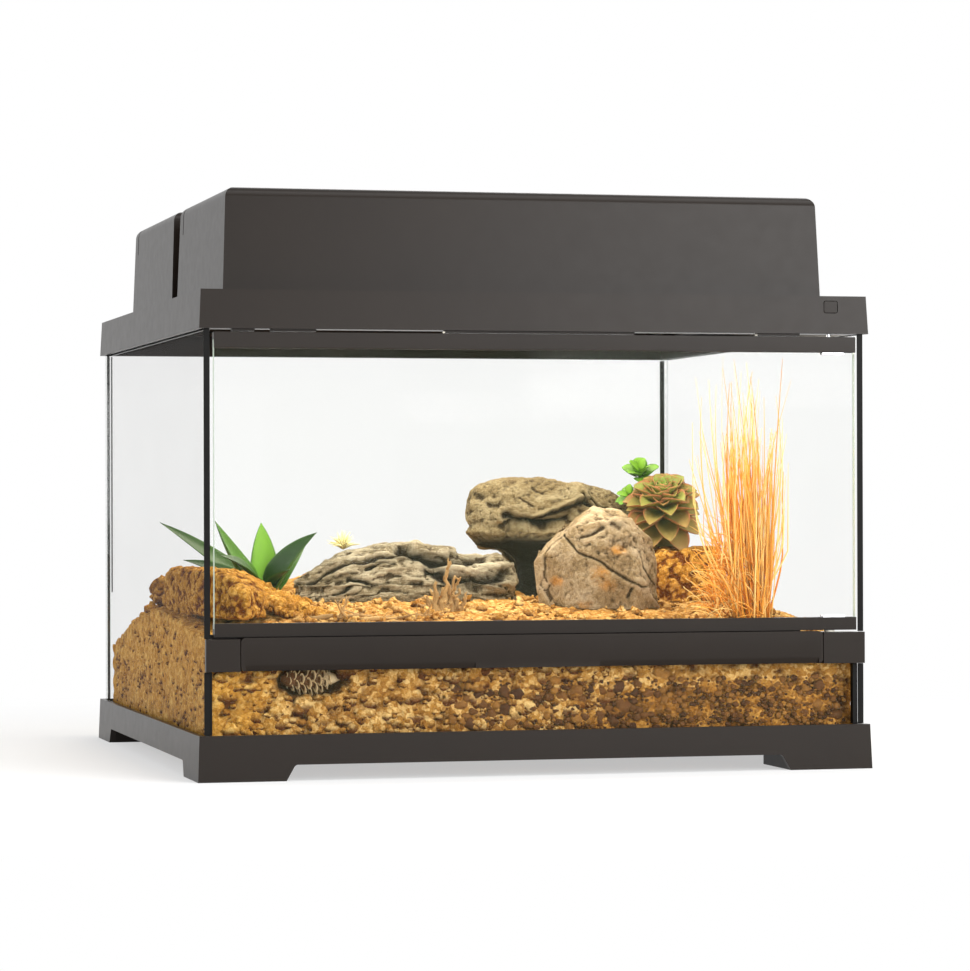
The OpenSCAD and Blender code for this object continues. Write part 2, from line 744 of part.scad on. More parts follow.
module hood_shell(y) {
    in_w = hood_w - 2 * hood_wall;
    in_d = hood_d - 2 * hood_wall;
    color(plastic) translate([0, y, hood_z]) difference() {
        arched_box(hood_w, hood_d, hood_h, hood_lean_w, hood_lean_d, hood_r);
        translate([0, 0, -eps]) arched_box(in_w, in_d, hood_h - hood_wall, hood_lean_w, hood_lean_d, hood_r - hood_wall);
        // Slots in both ends, vents in the back and the hole for the lead in the right end
        for (s = [-1, 1]) translate([s * hood_w / 2, hood_d / 2 - end_slot_back, hood_h - end_slot_h / 2 + 1])
            cube([16, end_slot_w, end_slot_h + 2], center = true);
        for (s = [-1, 1], k = [1:vent_slots]) translate([s * k * vent_slot_pitch, hood_d / 2, hood_h * 0.58])
            along_y(20) round_rect(vent_slot_w, vent_slot_h, 0.45 * vent_slot_w);
        translate([hood_w / 2 - 10, lead_y, lead_z]) rotate([0, 90, 0]) pin(lead_r + 2.5 + 0.1, 20);
    }
    // Ribs under the roof
    color(plastic) for (s = [-1, 1]) translate([s * hood_w / 6, y, hood_z + hood_h - hood_wall - rib_h / 2])
        cube([2, 2 * reflector_crown, rib_h + eps], center = true);
}

module hood_reflector(y) {
    foot = reflector_crown + 26;
    crown = reflector_crown;
    low = 2;
    color([0.85, 0.86, 0.88]) translate([0, y, hood_z]) along_x(hood_w - 2 * hood_wall - 12) difference() {
        polygon([[-foot, low], [foot, low], [crown, reflector_h], [-crown, reflector_h]]);
        polygon([[-foot + 1.2 * reflector_t, low - 1], [foot - 1.2 * reflector_t, low - 1],
            [crown - reflector_t / 2, reflector_h - reflector_t], [reflector_t / 2 - crown, reflector_h - reflector_t]]);
    }
}

// One holder on an end wall, and the lamp in it, pointing along +X from x = 0
module lamp_holder() {
    difference() {
        union() {
            rotate([0, 90, 0]) pin(holder_r, holder_l);
            translate([0, -holder_r, -holder_r]) cube([3, 2 * holder_r, 2 * holder_r]);
        }
        translate([12, 0, 0]) rotate([0, 90, 0]) pin(13.6, holder_l);
    }
}

module lamp() {
    cap_l = holder_l - 14;
    rotate([0, 90, 0]) rotate_extrude($fn = 64) polygon([
        [0, 13], [13, 13], [13, 13 + cap_l], [lamp_r - 1, holder_l + 8], [lamp_r, holder_l + 14],
        [lamp_r, holder_l + lamp_l - 16], [lamp_r - 5, holder_l + lamp_l - 5], [0, holder_l + lamp_l]
    ]);
}

module at_both_ends(y) {
    for (s = [0, 1]) translate([0, y, hood_z + lamp_z]) mirror([s, 0, 0])
        translate([holder_x, 0, 0]) children();
}

module hood_gland(y) {
    length = 9;
    color([0.08, 0.08, 0.08]) translate([hood_w / 2 - length / 2, y + lead_y, hood_z + lead_z]) rotate([0, 90, 0])
        difference() {
            union() {
                pin(lead_r + 2.5, length);
                translate([0, 0, length / 2 + 0.1]) pin(lead_r + 4, 2);
            }
            translate([0, 0, -1]) pin(lead_r, length + 2);
        }
}

module front_hood_shell() {
    hood_shell(hood_y[0]);
}

module front_hood_reflector() {
    hood_reflector(hood_y[0]);
}

module front_hood_holders() {
    color([0.93, 0.92, 0.88]) at_both_ends(hood_y[0]) lamp_holder();
}

module front_hood_lamps() {
    color([0.95, 0.95, 0.92]) at_both_ends(hood_y[0]) lamp();
}

module front_hood_gland() {
    hood_gland(hood_y[0]);
}

module rear_hood_shell() {
    hood_shell(hood_y[1]);
}

module rear_hood_reflector() {
    hood_reflector(hood_y[1]);
}

module rear_hood_holders() {
    color([0.93, 0.92, 0.88]) at_both_ends(hood_y[1]) lamp_holder();
}

module rear_hood_lamps() {
    color([0.95, 0.95, 0.92]) at_both_ends(hood_y[1]) lamp();
}

module rear_hood_gland() {
    hood_gland(hood_y[1]);
}

// Landscape

module landscape(rise = tall) {
    translate([0, bed_front, sand_z]) scale([wide, deep, rise]) translate([0, -land_front, 0]) children();
}

// Height of the sand: a low rise across the middle, a bank behind the driftwood and shallow ripples
function ground(x, y) = sand_rise * sin(180 * (y - land_front) / land_d)
    - 5 * pow(x / land_x, 4)
    - sand_dip * pow(max(0, -x / land_x), 2) * pow(max(0, y / land_back), 1.5)
    + bank_h * exp(-pow((x + 42) / 78, 2) - pow((y - 84) / 27, 2))
    + 0.8 * sin(5 * x + 30) * cos(6 * y);

// Uneven round outline, used by every stone and by its place in the sand
function jag(t, twist) = 1 + 0.07 * sin(3 * t + 40 * twist) + 0.04 * sin(7 * t + 95 * twist);

function outline(a, b, twist, sides = 20) = [for (i = [0:sides - 1]) let (t = 360 * i / sides)
    [a * jag(t, twist) * cos(t), b * jag(t, twist) * sin(t)]];

function seat_z(at) = sand_rise * sin(180 * (at[1] - land_front) / land_d) - stone_sink;

module bed_pocket(at) {
    translate([at[0], at[1], seat_z(at) - bed_gap]) linear_extrude(100)
        polygon(outline(at[2] + 2 * bed_gap, at[3] + 2 * bed_gap, at[4]));
}

module stem_pocket(at, r) {
    translate([at[0], at[1], ground(at[0], at[1]) - stone_sink - bed_gap]) pin(r + bed_gap, 60);
}

// Stack of rings on the outline. Each level is [height, size in x, size in y, shift in x, shift in y]
module lump(at, levels) {
    sides = 20;
    rings = len(levels);
    points = [for (k = [0:rings - 1]) for (p = outline(at[2] * levels[k][1], at[3] * levels[k][2], at[4], sides))
        [at[0] + p[0] + levels[k][3], at[1] + p[1] + levels[k][4], seat_z(at) + levels[k][0]]];
    walls = [for (k = [0:rings - 2]) for (i = [0:sides - 1]) let (a = k * sides + i, b = k * sides + (i + 1) % sides)
        each [[a, a + sides, b + sides], [a, b + sides, b]]];
    polyhedron(points, concat([[for (i = [0:sides - 1]) i]], walls,
        [[for (i = [sides - 1:-1:0]) (rings - 1) * sides + i]]));
}

module gravel_layer() {
    color([0.50, 0.33, 0.15]) block([-bed_x, bed_front, floor_top + bed_gap], [bed_x, bed_back, bed_z]);
}

module sand_bed() {
    cells = 18;
    row = cells + 1;
    top = [for (j = [0:cells]) for (i = [0:cells]) let (u = i / cells, v = j / cells)
        [bed_x * (2 * u - 1), bed_front + bed_d * v,
            sand_z + tall * ground(land_x * (2 * u - 1), land_front + land_d * v)]];
    feet = [[-bed_x, bed_front, bed_z], [bed_x, bed_front, bed_z], [bed_x, bed_back, bed_z], [-bed_x, bed_back, bed_z]];
    n = row * row;
    skin = [for (j = [0:cells - 1]) for (i = [0:cells - 1]) let (a = j * row + i)
        each [[a, a + row, a + row + 1], [a, a + row + 1, a + 1]]];
    front = concat([n], [for (i = [0:cells]) i], [n + 1]);
    back = concat([n + 2], [for (i = [cells:-1:0]) cells * row + i], [n + 3]);
    left = concat([n + 3], [for (j = [cells:-1:0]) j * row], [n]);
    right = concat([n + 1], [for (j = [0:cells]) j * row + cells], [n + 2]);
    color(sand_tone) difference() {
        polyhedron(concat(top, feet), concat(skin, [front, back, left, right, [n, n + 1, n + 2, n + 3]]));
        landscape() {
            for (at = [mound_at, knoll_at, slab_at, rock_at, boulder_at, grass_at]) bed_pocket(at);
            for (at = concat([aloe_at, sprout_at], twig_at)) stem_pocket(at, at[2]);
        }
        landscape(1) cone_place(bed_gap);
        // Room for the back lip of the rail
        block([-bed_x - 1, bed_front - 1, rail_top - rail_lip_h - bed_gap], [bed_x + 1, rail_back + bed_gap, sand_z + 50]);
    }
}

module left_earth_mound() {
    color([0.62, 0.42, 0.16]) landscape() lump(mound_at, [[0, 1, 1, 0, 0], [11, 1, 1, 0, 0], [18, 0.96, 0.98, 0, 2],
        [24, 0.80, 0.92, -4, 4], [28, 0.62, 0.80, -8, 2], [32, 0.42, 0.56, -13, -10]]);
}

module rear_earth_mound() {
    color([0.66, 0.44, 0.18]) landscape() lump(knoll_at, [[0, 1, 1, 0, 0], [14, 1, 1, 0, 0], [30, 0.92, 0.9, 1, 0],
        [42, 0.78, 0.7, 1, 0]]);
}

module driftwood_slab() {
    color(rock_tone) landscape() lump(slab_at, [[0, 1, 1, 0, 0], [10, 1, 1, 0, 0], [14, 0.98, 0.95, 1, 1], [16, 1, 1, 1, 1],
        [23, 0.93, 0.92, 0, 3], [33, 0.8, 0.8, 3, 4], [35, 0.77, 0.7, 3, 5], [43, 0.5, 0.52, -8, 6],
        [49, 0.2, 0.3, -6, 7]]);
}

module upper_rock() {
    color(rock_tone) landscape() lump(rock_at, [[0, 1, 1, 0, 0], [14, 1, 1, 0, 0], [34, 1.02, 1, 0, 0], [43, 1.2, 1.1, -4, -2],
        [48, 1.55, 1.15, -9, -3], [56, 1.77, 1.2, -14, -3], [60, 1.7, 1.15, -14, -3], [66, 1.76, 1.2, -15, -3],
        [77, 1.68, 1.15, -19, -2], [88, 1.4, 1, -25, 0], [94, 1.1, 0.85, -28, 2], [97, 0.6, 0.5, -28, 4]]);
}

module boulder() {
    color(rock_tone) landscape() lump(boulder_at, [[0, 1, 1, 0, 0], [10, 1, 1, 0, 0], [24, 1.04, 1.04, 0, 1],
        [42, 1.03, 1.02, -2, 3], [54, 0.95, 0.96, -3, 4], [64, 0.82, 0.84, -5, 6], [71, 0.56, 0.6, -3, 8],
        [76, 0.22, 0.26, 0, 9]]);
}

// Leaf from one point to another, bowed upwards, with a lens section and a pointed tip
module blade(from, tip, width, thick, bow) {
    steps = 6;
    run = tip - from;
    flat = sqrt(run[0] * run[0] + run[1] * run[1]);
    side = flat < 1 ? [1, 0, 0] : [-run[1] / flat, run[0] / flat, 0];
    normal = cross(run, side) / norm(run);
    points = [for (k = [0:steps]) let (
            u = k / steps,
            p = from + u * run + [0, 0, 4 * bow * u * (1 - u)],
            w = max(0.3, width / 2 * pow(sin(180 * (0.16 + 0.84 * u)), 0.8)),
            h = thick / 2 * (1 - 0.8 * u))
        each [p - w * side, p - h * normal, p + w * side, p + h * normal]];
    walls = [for (k = [0:steps - 1]) for (i = [0:3]) let (a = 4 * k + i, b = 4 * k + (i + 1) % 4)
        each [[a, a + 4, b + 4], [a, b + 4, b]]];
    polyhedron(points, concat([[0, 1, 2, 3]], walls, [[4 * steps + 3, 4 * steps + 2, 4 * steps + 1, 4 * steps]]));
}

module aloe_plant() {
    foot = [aloe_at[0], aloe_at[1], ground(aloe_at[0], aloe_at[1]) - stone_sink];
    root = foot + [0, 0, 16];
    // Tip of each leaf from the root, with the leaf's width and bow
    leaves = [
        [[-62, 74, 46], 10, 6], [[-40, -20, 48], 16, 1], [[1, 30, 45], 15, 2], [[34, -20, 39], 15, -2],
        [[-50, 36, 20], 11, 8], [[-36, 36, 46], 9, 2], [[42, 38, 25], 12, 2], [[-20, -46, 18], 9, 5]
    ];
    color(leaf_tone) landscape() {
        for (leaf = leaves) blade(root, root + leaf[0], leaf[1], 5, leaf[2]);
        translate(foot) cylinder(r1 = 4, r2 = 5, h = 17, $fn = 12);
    }
}

module rosette_plant() {
    leaves = 30;
    seat = seat_z(knoll_at) + 42 + bed_gap;
    at = [knoll_at[0] - 3, knoll_at[1] + 6, seat + 18];
    color([0.50, 0.42, 0.30]) landscape() {
        for (k = [0:leaves - 1]) let (
                out = k / (leaves - 1),
                turn = 137.5 * k,
                rise = 80 - 92 * out,
                length = 17 + 19 * out)
            blade(at + [2 * cos(turn), 2 * sin(turn), 7 * (1 - out)], at + [
                length * cos(rise) * cos(turn),
                length * cos(rise) * sin(turn),
                7 * (1 - out) + length * sin(rise)
            ], 9 + 10 * out, 5, -1);
        translate([at[0], at[1], seat]) cylinder(r1 = 10, r2 = 6, h = 24, $fn = 12);
    }
}

module sprout() {
    foot = [sprout_at[0], sprout_at[1], ground(sprout_at[0], sprout_at[1]) - stone_sink];
    crown = [foot[0] - 3, foot[1] - 4, 112];
    color([0.45, 0.70, 0.12]) landscape() {
        blade(foot, crown + [0, 0, 6], 5, 5, 0);
        for (k = [0:5]) blade(crown + [0, 0, -2 * (k % 3)], crown + [
            20 * cos(60 * k) - 1, 12 * sin(60 * k), 9 - 4 * (k % 3)
        ], 12, 2.4, 2);
    }
}

module dry_grass() {
    stems = 44;
    base_z = seat_z(grass_at);
    color([0.85, 0.55, 0.20]) landscape() {
        for (k = [0:stems - 1]) let (
                turn = 137.5 * k,
                out = sqrt((k + 0.5) / stems),
                foot = [0.8 * grass_at[2] * out * cos(turn), 0.8 * grass_at[3] * out * sin(turn), 1],
                tall = 186 - 46 * abs(sin(73 * k)) * out,
                lean = [24 * out * cos(turn + 20) - 4, 14 * out * sin(turn)])
            blade([grass_at[0], grass_at[1], base_z] + foot,
                [grass_at[0] + foot[0] + lean[0], grass_at[1] + foot[1] + lean[1], base_z + tall], 2.2, 2.2, 0);
        translate([grass_at[0], grass_at[1], base_z]) linear_extrude(6)
            polygon(outline(grass_at[2], grass_at[3], grass_at[4]));
    }
}

module air_plant() {
    spines = 14;
    at = [slab_at[0] - 36, slab_at[1] + 8, seat_z(slab_at) + 49.1];
    color([0.90, 0.85, 0.50]) landscape() {
        for (k = [0:spines - 1]) let (turn = 137.5 * k, rise = 75 - 65 * k / spines)
            blade(at, at + 15 * [cos(rise) * cos(turn), cos(rise) * sin(turn), sin(rise)], 2.4, 2, 0);
        translate(at) sphere(r = 2.5, $fn = 12);
    }
}

module twigs() {
    lean = [[6, -3, 30], [10, 2, 15]];
    color([0.55, 0.45, 0.32]) landscape() for (k = [0, 1]) let (
            at = twig_at[k],
            drop = 3 * norm([lean[k][0], lean[k][1]]) / norm(lean[k]),
            foot = [at[0], at[1], ground(at[0], at[1]) - stone_sink + drop])
        blade(foot, foot + lean[k], 7, 6, 0);
}

// Pine cone against the sill pane, with its clearance
module cone_place(gap) {
    size = [[0, 0], [6, 3], [11, 12], [cone_r, 20], [9, 32], [4, 40], [0, 42]];
    translate([-172, land_front + cone_r + bed_gap, bed_z + cone_r + 3 * bed_gap - sand_z]) rotate([0, 90, 0]) rotate_extrude($fn = 32)
        polygon([for (p = size) [p[0] > 0 ? p[0] + gap : 0, p[1] + (p[1] > 20 ? gap : -gap)]]);
}

module pine_cone() {
    color([0.40, 0.26, 0.12]) landscape(1) cone_place(0);
}

base_frame();
floor_glass();
left_glass();
right_glass();
rear_glass();
sill_glass();
sealant();
edge_seals();
front_rail();
top_frame();
lower_hinge_pin();
hinge_washer();
catch_magnets();
screen_frame();
screen_mesh();
door_glass();
door_top_trim();
door_bottom_trim();
hinge_clips();
catch_plate();
latch_bar();
release_button();
button_spring();
upper_hinge_pin();
front_hood_shell();
front_hood_reflector();
front_hood_holders();
front_hood_lamps();
front_hood_gland();
rear_hood_shell();
rear_hood_reflector();
rear_hood_holders();
rear_hood_lamps();
rear_hood_gland();
gravel_layer();
sand_bed();
left_earth_mound();
rear_earth_mound();
driftwood_slab();
upper_rock();
boulder();
aloe_plant();
rosette_plant();
sprout();
dry_grass();
air_plant();
twigs();
pine_cone();
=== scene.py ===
"""Looks of the glass terrarium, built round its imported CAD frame.

Lengths in this file are millimetres in the CAD's own frame, and meshes are scaled to metres as they
are made. Run as a script it registers its operators, builds every piece and sets the stage.
"""

import functools
import math
import random

import bmesh
import bpy
from bpy.props import FloatProperty, FloatVectorProperty, IntProperty, PointerProperty
from mathutils import Matrix, Vector, noise


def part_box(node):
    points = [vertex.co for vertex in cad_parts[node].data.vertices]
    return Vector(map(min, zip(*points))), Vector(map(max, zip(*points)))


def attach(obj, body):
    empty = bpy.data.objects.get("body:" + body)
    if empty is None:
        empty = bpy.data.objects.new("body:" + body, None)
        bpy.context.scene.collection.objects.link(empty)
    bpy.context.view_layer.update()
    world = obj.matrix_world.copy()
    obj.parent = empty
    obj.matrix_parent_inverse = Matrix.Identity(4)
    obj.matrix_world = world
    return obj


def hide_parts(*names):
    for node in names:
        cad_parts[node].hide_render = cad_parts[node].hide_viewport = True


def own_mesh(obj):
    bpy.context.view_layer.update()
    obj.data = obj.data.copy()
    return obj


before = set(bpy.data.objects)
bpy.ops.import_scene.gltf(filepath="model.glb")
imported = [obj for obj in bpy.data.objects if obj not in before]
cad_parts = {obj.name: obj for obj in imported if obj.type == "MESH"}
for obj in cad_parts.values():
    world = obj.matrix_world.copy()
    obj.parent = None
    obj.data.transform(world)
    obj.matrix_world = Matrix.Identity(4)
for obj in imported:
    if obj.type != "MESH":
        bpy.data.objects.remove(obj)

bl_info = {
    "name": "Glass Terrarium",
    "version": (1, 0, 0),
    "blender": (4, 5, 0),
    "location": "View3D > Sidebar > Terrarium",
    "description": "Builds the looks of a glass terrarium round its CAD frame",
    "category": "Object",
}

MM = 0.001
GOLDEN = math.radians(137.508)

CAMERA_AT = (-612.06, -2504.95, 181.92)
CAMERA_YAW = 0.2467
CAMERA_PITCH = -0.0041
CAMERA_ROLL = -0.0026
CAMERA_LENS = 3567.15 / 970 * 36
# Directions across the photograph and into it
ACROSS = Vector((math.cos(CAMERA_YAW), -math.sin(CAMERA_YAW), 0.0))
AHEAD = Vector((math.sin(CAMERA_YAW), math.cos(CAMERA_YAW), 0.0))


# Shader graphs


class Sock:
    """An output of a shader node that takes part in sums."""

    def __init__(self, graph, value):
        self.graph = graph
        self.value = value

    def _math(self, operation, *inputs):
        return self.graph.node("ShaderNodeMath", *inputs, operation=operation)

    def __add__(self, other):
        return self._math("ADD", self, other)

    def __radd__(self, other):
        return self._math("ADD", other, self)

    def __sub__(self, other):
        return self._math("SUBTRACT", self, other)

    def __rsub__(self, other):
        return self._math("SUBTRACT", other, self)

    def __mul__(self, other):
        return self._math("MULTIPLY", self, other)

    def __rmul__(self, other):
        return self._math("MULTIPLY", other, self)

    def __truediv__(self, other):
        return self._math("DIVIDE", self, other)

    def __pow__(self, other):
        return self._math("POWER", self, other)

    def low(self, other):
        return self._math("MINIMUM", self, other)

    def high(self, other):
        return self._math("MAXIMUM", self, other)

    def step(self, start, end):
        """0 below start, 1 above end and smooth between them."""
        return self.graph.node(
            "ShaderNodeMapRange", self, start, end, 0.0, 1.0, interpolation_type="SMOOTHSTEP"
        )


class Graph:
    """A material with one Principled shader, and short ways to feed it."""

    def __init__(self, name, **constants):
        self.material = bpy.data.materials.new(name)
        self.material.use_nodes = True
        self.tree = self.material.node_tree
        self.shader = self.tree.nodes["Principled BSDF"]
        self.set(**constants)

    def node(self, kind, *inputs, out=0, **settings):
        """Adds a node, sets its properties, feeds its inputs in order and returns one output."""
        made = self.tree.nodes.new(kind)
        for key, value in settings.items():
            setattr(made, key, value)
        enabled = [s for s in made.inputs if s.enabled]
        for socket, value in zip(enabled, inputs):
            self.feed(socket, value)
        outputs = [s for s in made.outputs if s.enabled]
        return Sock(self, outputs[out])

    def feed(self, socket, value):
        if isinstance(value, Sock):
            self.tree.links.new(value.value, socket)
        elif value is not None:
            if socket.type == "RGBA" and len(value) == 3:
                value = (*value, 1.0)
            socket.default_value = value

    def set(self, **inputs):
        """Feeds inputs of the shader, with spaces in their names written as underscores."""
        for key, value in inputs.items():
            self.feed(self.shader.inputs[key.replace("_", " ")], value)

    def place(self, size=(1.0, 1.0, 1.0), turn=(0.0, 0.0, 0.0)):
        """Object coordinates in millimetres, divided by a size along each axis."""
        coordinates = self.node("ShaderNodeTexCoord", out=3)
        scale = tuple(1000.0 / s for s in size)
        return self.node("ShaderNodeMapping", coordinates, None, turn, scale)

    def axis(self, name):
        """One coordinate in millimetres."""
        return self.node("ShaderNodeSeparateXYZ", self.place(), out="XYZ".index(name))

    def noise(self, size, detail=4.0, rough=0.55, place=None, distortion=0.0):
        place = place or self.place()
        return self.node(
            "ShaderNodeTexNoise", place, 1.0 / size, detail, rough, 2.0, distortion, normalize=True
        )

    def cells(self, size, place=None, feature="F1", out=0):
        place = place or self.place()
        return self.node("ShaderNodeTexVoronoi", place, 1.0 / size, feature=feature, out=out)

    def attribute(self, name):
        return self.node("ShaderNodeAttribute", attribute_name=name, out=2)

    def path(self, name):
        """One answer of the Light Path node."""
        made = self.tree.nodes.new("ShaderNodeLightPath")
        return Sock(self, made.outputs[name])

    def mix(self, factor, a, b, blend="MIX"):
        made = self.tree.nodes.new("ShaderNodeMix")
        made.data_type = "RGBA"
        made.blend_type = blend
        made.clamp_factor = True
        self.feed(made.inputs[0], factor)
        self.feed(made.inputs[6], a)
        self.feed(made.inputs[7], b)
        return Sock(self, made.outputs[2])

    def ramp(self, value, *stops):
        """Colour ramp with (position, colour) stops."""
        made = self.tree.nodes.new("ShaderNodeValToRGB")
        elements = made.color_ramp.elements
        while len(elements) < len(stops):
            elements.new(0.5)
        for element, (position, colour) in zip(elements, stops):
            element.position = position
            element.color = (*colour, 1.0)
        self.feed(made.inputs[0], value)
        return Sock(self, made.outputs[0])

    def bump(self, height, distance, strength=1.0):
        """Feeds a height in millimetres to the shader's normal."""
        made = self.tree.nodes.new("ShaderNodeBump")
        self.feed(made.inputs["Strength"], strength)
        self.feed(made.inputs["Distance"], distance * MM)
        self.feed(made.inputs["Height"], height)
        self.tree.links.new(made.outputs[0], self.shader.inputs["Normal"])


def rgb(red, green, blue):
    """Linear colour of an sRGB value from 0 to 255."""

    def linear(value):
        value /= 255
        return value / 12.92 if value <= 0.04045 else ((value + 0.055) / 1.055) ** 2.4

    return (linear(red), linear(green), linear(blue))


# Materials


def times(colour, factor):
    return tuple(factor * c for c in colour)


def plastic_material(colour):
    g = Graph("SatinPlastic", Specular_IOR_Level=0.16)
    g.set(Base_Color=g.mix(g.noise(60, 3, 0.5), times(colour, 0.82), times(colour, 1.15)))
    g.set(Roughness=0.29 + 0.08 * g.noise(9, 3, 0.6))
    g.bump(g.noise(0.5, 2, 0.6), 0.03, 0.35)
    return g.material


def glass_material(name, tint, weight, shine=0.5):
    g = Graph(name, Base_Color=tuple(tint), Roughness=0.02, Specular_IOR_Level=shine)
    g.set(Alpha=weight * (0.75 + 0.5 * g.noise(55, 4, 0.6)))
    return g.material


def seam_material(look):
    """Clear rim of the left pane with the thin dark seam in its middle."""
    g = Graph("SeamRim", Roughness=0.1)
    low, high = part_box("left_glass")
    middle = (low.x + high.x) / 2 / MM
    off = g.node("ShaderNodeMath", g.axis("X") - middle, operation="ABSOLUTE")
    seam = 1 - off.step(0.9, 1.2)
    g.set(Base_Color=g.mix(seam, tuple(look.clear_rim), tuple(look.dark_rim)), Alpha=0.12 + 0.85 * seam)
    return g.material


def rubber_material(colour):
    g = Graph("BlackSeal", Specular_IOR_Level=0.1)
    g.set(Base_Color=g.mix(g.noise(8, 3), times(colour, 0.6), times(colour, 1.3)), Roughness=0.42 + 0.1 * g.noise(5))
    g.bump(g.noise(2.0, 3), 0.05, 0.5)
    return g.material


def steel_material(name, colour):
    g = Graph(name, Metallic=1.0)
    streaks = g.noise(0.6, 4, 0.6, g.place((1, 1, 14)))
    g.set(Base_Color=g.mix(streaks, times(colour, 0.85), tuple(colour)), Roughness=0.24 + 0.16 * streaks)
    g.bump(streaks, 0.02, 0.4)
    return g.material


def paint_material(name, colour, rough, grain=2.0):
    """Plain finish with a slight cloud and grain."""
    g = Graph(name)
    g.set(Base_Color=g.mix(g.noise(25, 4), times(colour, 0.82), tuple(colour)), Roughness=rough + 0.08 * g.noise(grain))
    g.bump(g.noise(grain, 4), 0.05, 0.4)
    return g.material


def lamp_material(colour, glow, strength):
    g = Graph("LampGlass", Roughness=0.25)
    g.set(Base_Color=g.mix(g.noise(18), times(colour, 0.9), tuple(colour)))
    g.set(Emission_Color=tuple(glow), Emission_Strength=strength)
    return g.material


def grain_colours(g, colours, size=2.6):
    """Colours that change from grain to grain, from patch to patch and with the tone of a clump."""
    patches = g.noise(16, 5, 0.62)
    grains = g.node("ShaderNodeSeparateColor", g.cells(size, out=1))
    fine = g.noise(1.1, 3, 0.7)
    value = patches * 0.4 + grains * 0.26 + fine * 0.44 + g.attribute("tone") * 0.12
    return g.ramp(value, *zip((0.3, 0.54, 0.74), colours))


def earthy(g, ground, hollow_shade, size):
    """Finish of loose ground: painted shade in its hollows and under its crumbs, and a grainy surface."""
    shade = g.attribute("cavity")
    # Painted shade: the ground is darkened with the hollow tint where the painted shade value is low
    shaded_ground = g.mix(0.94, ground, hollow_shade, "MULTIPLY")
    g.set(Base_Color=g.mix(shade.step(0.08, 0.8), shaded_ground, ground))
    g.bump(g.cells(size) * -1.0 + g.noise(1.3, 4, 0.7) * 1.0, 1.3, 1.0)
    return g.material


def sand_material(sand, clay, grit, hollow_shade):
    """Dry sand above, and brown grit in the lower right part of the bed."""
    g = Graph("DrySand", Specular_IOR_Level=0.18, Roughness=0.92)
    x, z = g.axis("X"), g.axis("Z")
    wave = g.noise(34, 3) * 16 - 8
    gritty = (x.step(-10.0, 70.0) * 58.0 + wave - z).step(-1.5, 2.0)
    left = (x * -1.0 + 22.0 * g.noise(30)).step(170.0, 214.0) * 0.85
    upper = g.mix(left, grain_colours(g, sand), grain_colours(g, clay))
    return earthy(g, g.mix(gritty, upper, grain_colours(g, grit, 2.2)), hollow_shade, 3.0)


def clay_material(colours, hollow_shade):
    g = Graph("ClayEarth", Specular_IOR_Level=0.15, Roughness=0.95)
    return earthy(g, grain_colours(g, colours, 2.2), hollow_shade, 2.4)


def pebble_material(colours):
    g = Graph("Pebbles", Specular_IOR_Level=0.3)
    value = g.attribute("tone") * 0.6 + g.noise(5, 4, 0.65) * 0.45
    g.set(Base_Color=g.ramp(value, *zip((0.25, 0.55, 1.0), colours)), Roughness=0.66 + 0.2 * g.noise(4))
    g.bump(g.noise(1.3, 4, 0.65), 0.5, 1.0)
    return g.material


def rock_material(name, colours, size=20.0, turn=(0.0, 0.0, 0.0), stretch=(1, 1, 1)):
    """Weathered stone with ochre stains, painted shade in its hollows and painted black shade in its gaps, cracks and
    under its ledges.
    """
    dark, middle, light, stain, hollow_shade_tint, gap_shade_tint = colours
    g = Graph(name, Specular_IOR_Level=0.2)
    place = g.place(stretch, turn)
    broad = g.noise(size, 5, 0.55, place, 0.4)
    lines = g.noise(size * 0.22, 6, 0.7, place, 0.8)
    fine = g.noise(1.3, 4, 0.75)
    colour = g.ramp(
        broad * 0.5 + lines * 0.34 + fine * 0.3, (0.4, dark), (0.54, middle), (0.7, light)
    )
    patch = g.noise(7, 5, 0.7)
    spots = (g.attribute("stain") * 0.8 + patch).step(0.7, 1.25)
    colour = g.mix(spots * 0.9, colour, stain)
    # Painted shade darkens the hollows, and the crowns of the relief are made paler
    shade = g.attribute("cavity")
    hollow_shade = g.mix(0.9, colour, hollow_shade_tint, "MULTIPLY")
    ridges_paler = g.mix(shade.step(0.62, 1.0) * 0.4, colour, light)
    colour = g.mix(shade.step(0.12, 0.6), hollow_shade, ridges_paler)
    # Painted black shade in gaps, cracks and under ledges
    g.set(Base_Color=g.mix(g.attribute("gloom"), colour, gap_shade_tint))
    g.set(Roughness=0.8 + 0.15 * fine)
    g.bump(lines * 1.6 + fine * 1.2, 1.0, 1.0)
    return g.material


def leaf_material(name, colours, rough=0.42):
    """Leaf whose colour runs from base to tip and out to the edge, and to a brighter one with its tone."""
    base, tip, edge, bright = colours
    g = Graph(name, Specular_IOR_Level=0.22)
    along, across, tone = g.attribute("along"), g.attribute("across"), g.attribute("tone")
    body = g.mix(along.step(0.1, 0.95), base, tip)
    # The tone mixes in the bright colour; on the aloe leaves this is painted sunlight
    body = g.mix(tone, body, bright)
    body = g.mix(across.step(0.7, 1.0) * 0.8, body, edge)
    veins = g.noise(2.6, 4, 0.6, g.place((1, 1, 4)))
    body = g.mix(veins * 0.45, body, times(base, 0.45))
    g.set(Base_Color=body, Roughness=rough + 0.2 * veins)
    g.bump(g.noise(0.9, 3, 0.6), 0.12, 0.6)
    return g.material


def straw_material(colours):
    g = Graph("DryStraw", Specular_IOR_Level=0.35)
    value = g.attribute("tone") * 0.8 + g.attribute("along") * 0.25
    g.set(Base_Color=g.ramp(value, *zip((0.08, 0.4, 0.85), colours)), Roughness=0.5 + 0.2 * g.noise(3))
    g.bump(g.noise(0.5, 3), 0.08, 0.5)
    return g.material


def wood_material(dark, light):
    g = Graph("TwigWood", Specular_IOR_Level=0.2, Roughness=0.85)
    lines = g.noise(1.4, 5, 0.65, g.place((1, 1, 5)), 1.0)
    g.set(Base_Color=g.mix(g.attribute("tone") * 0.5 + lines * 0.6, dark, light))
    g.bump(lines, 0.5, 0.8)
    return g.material


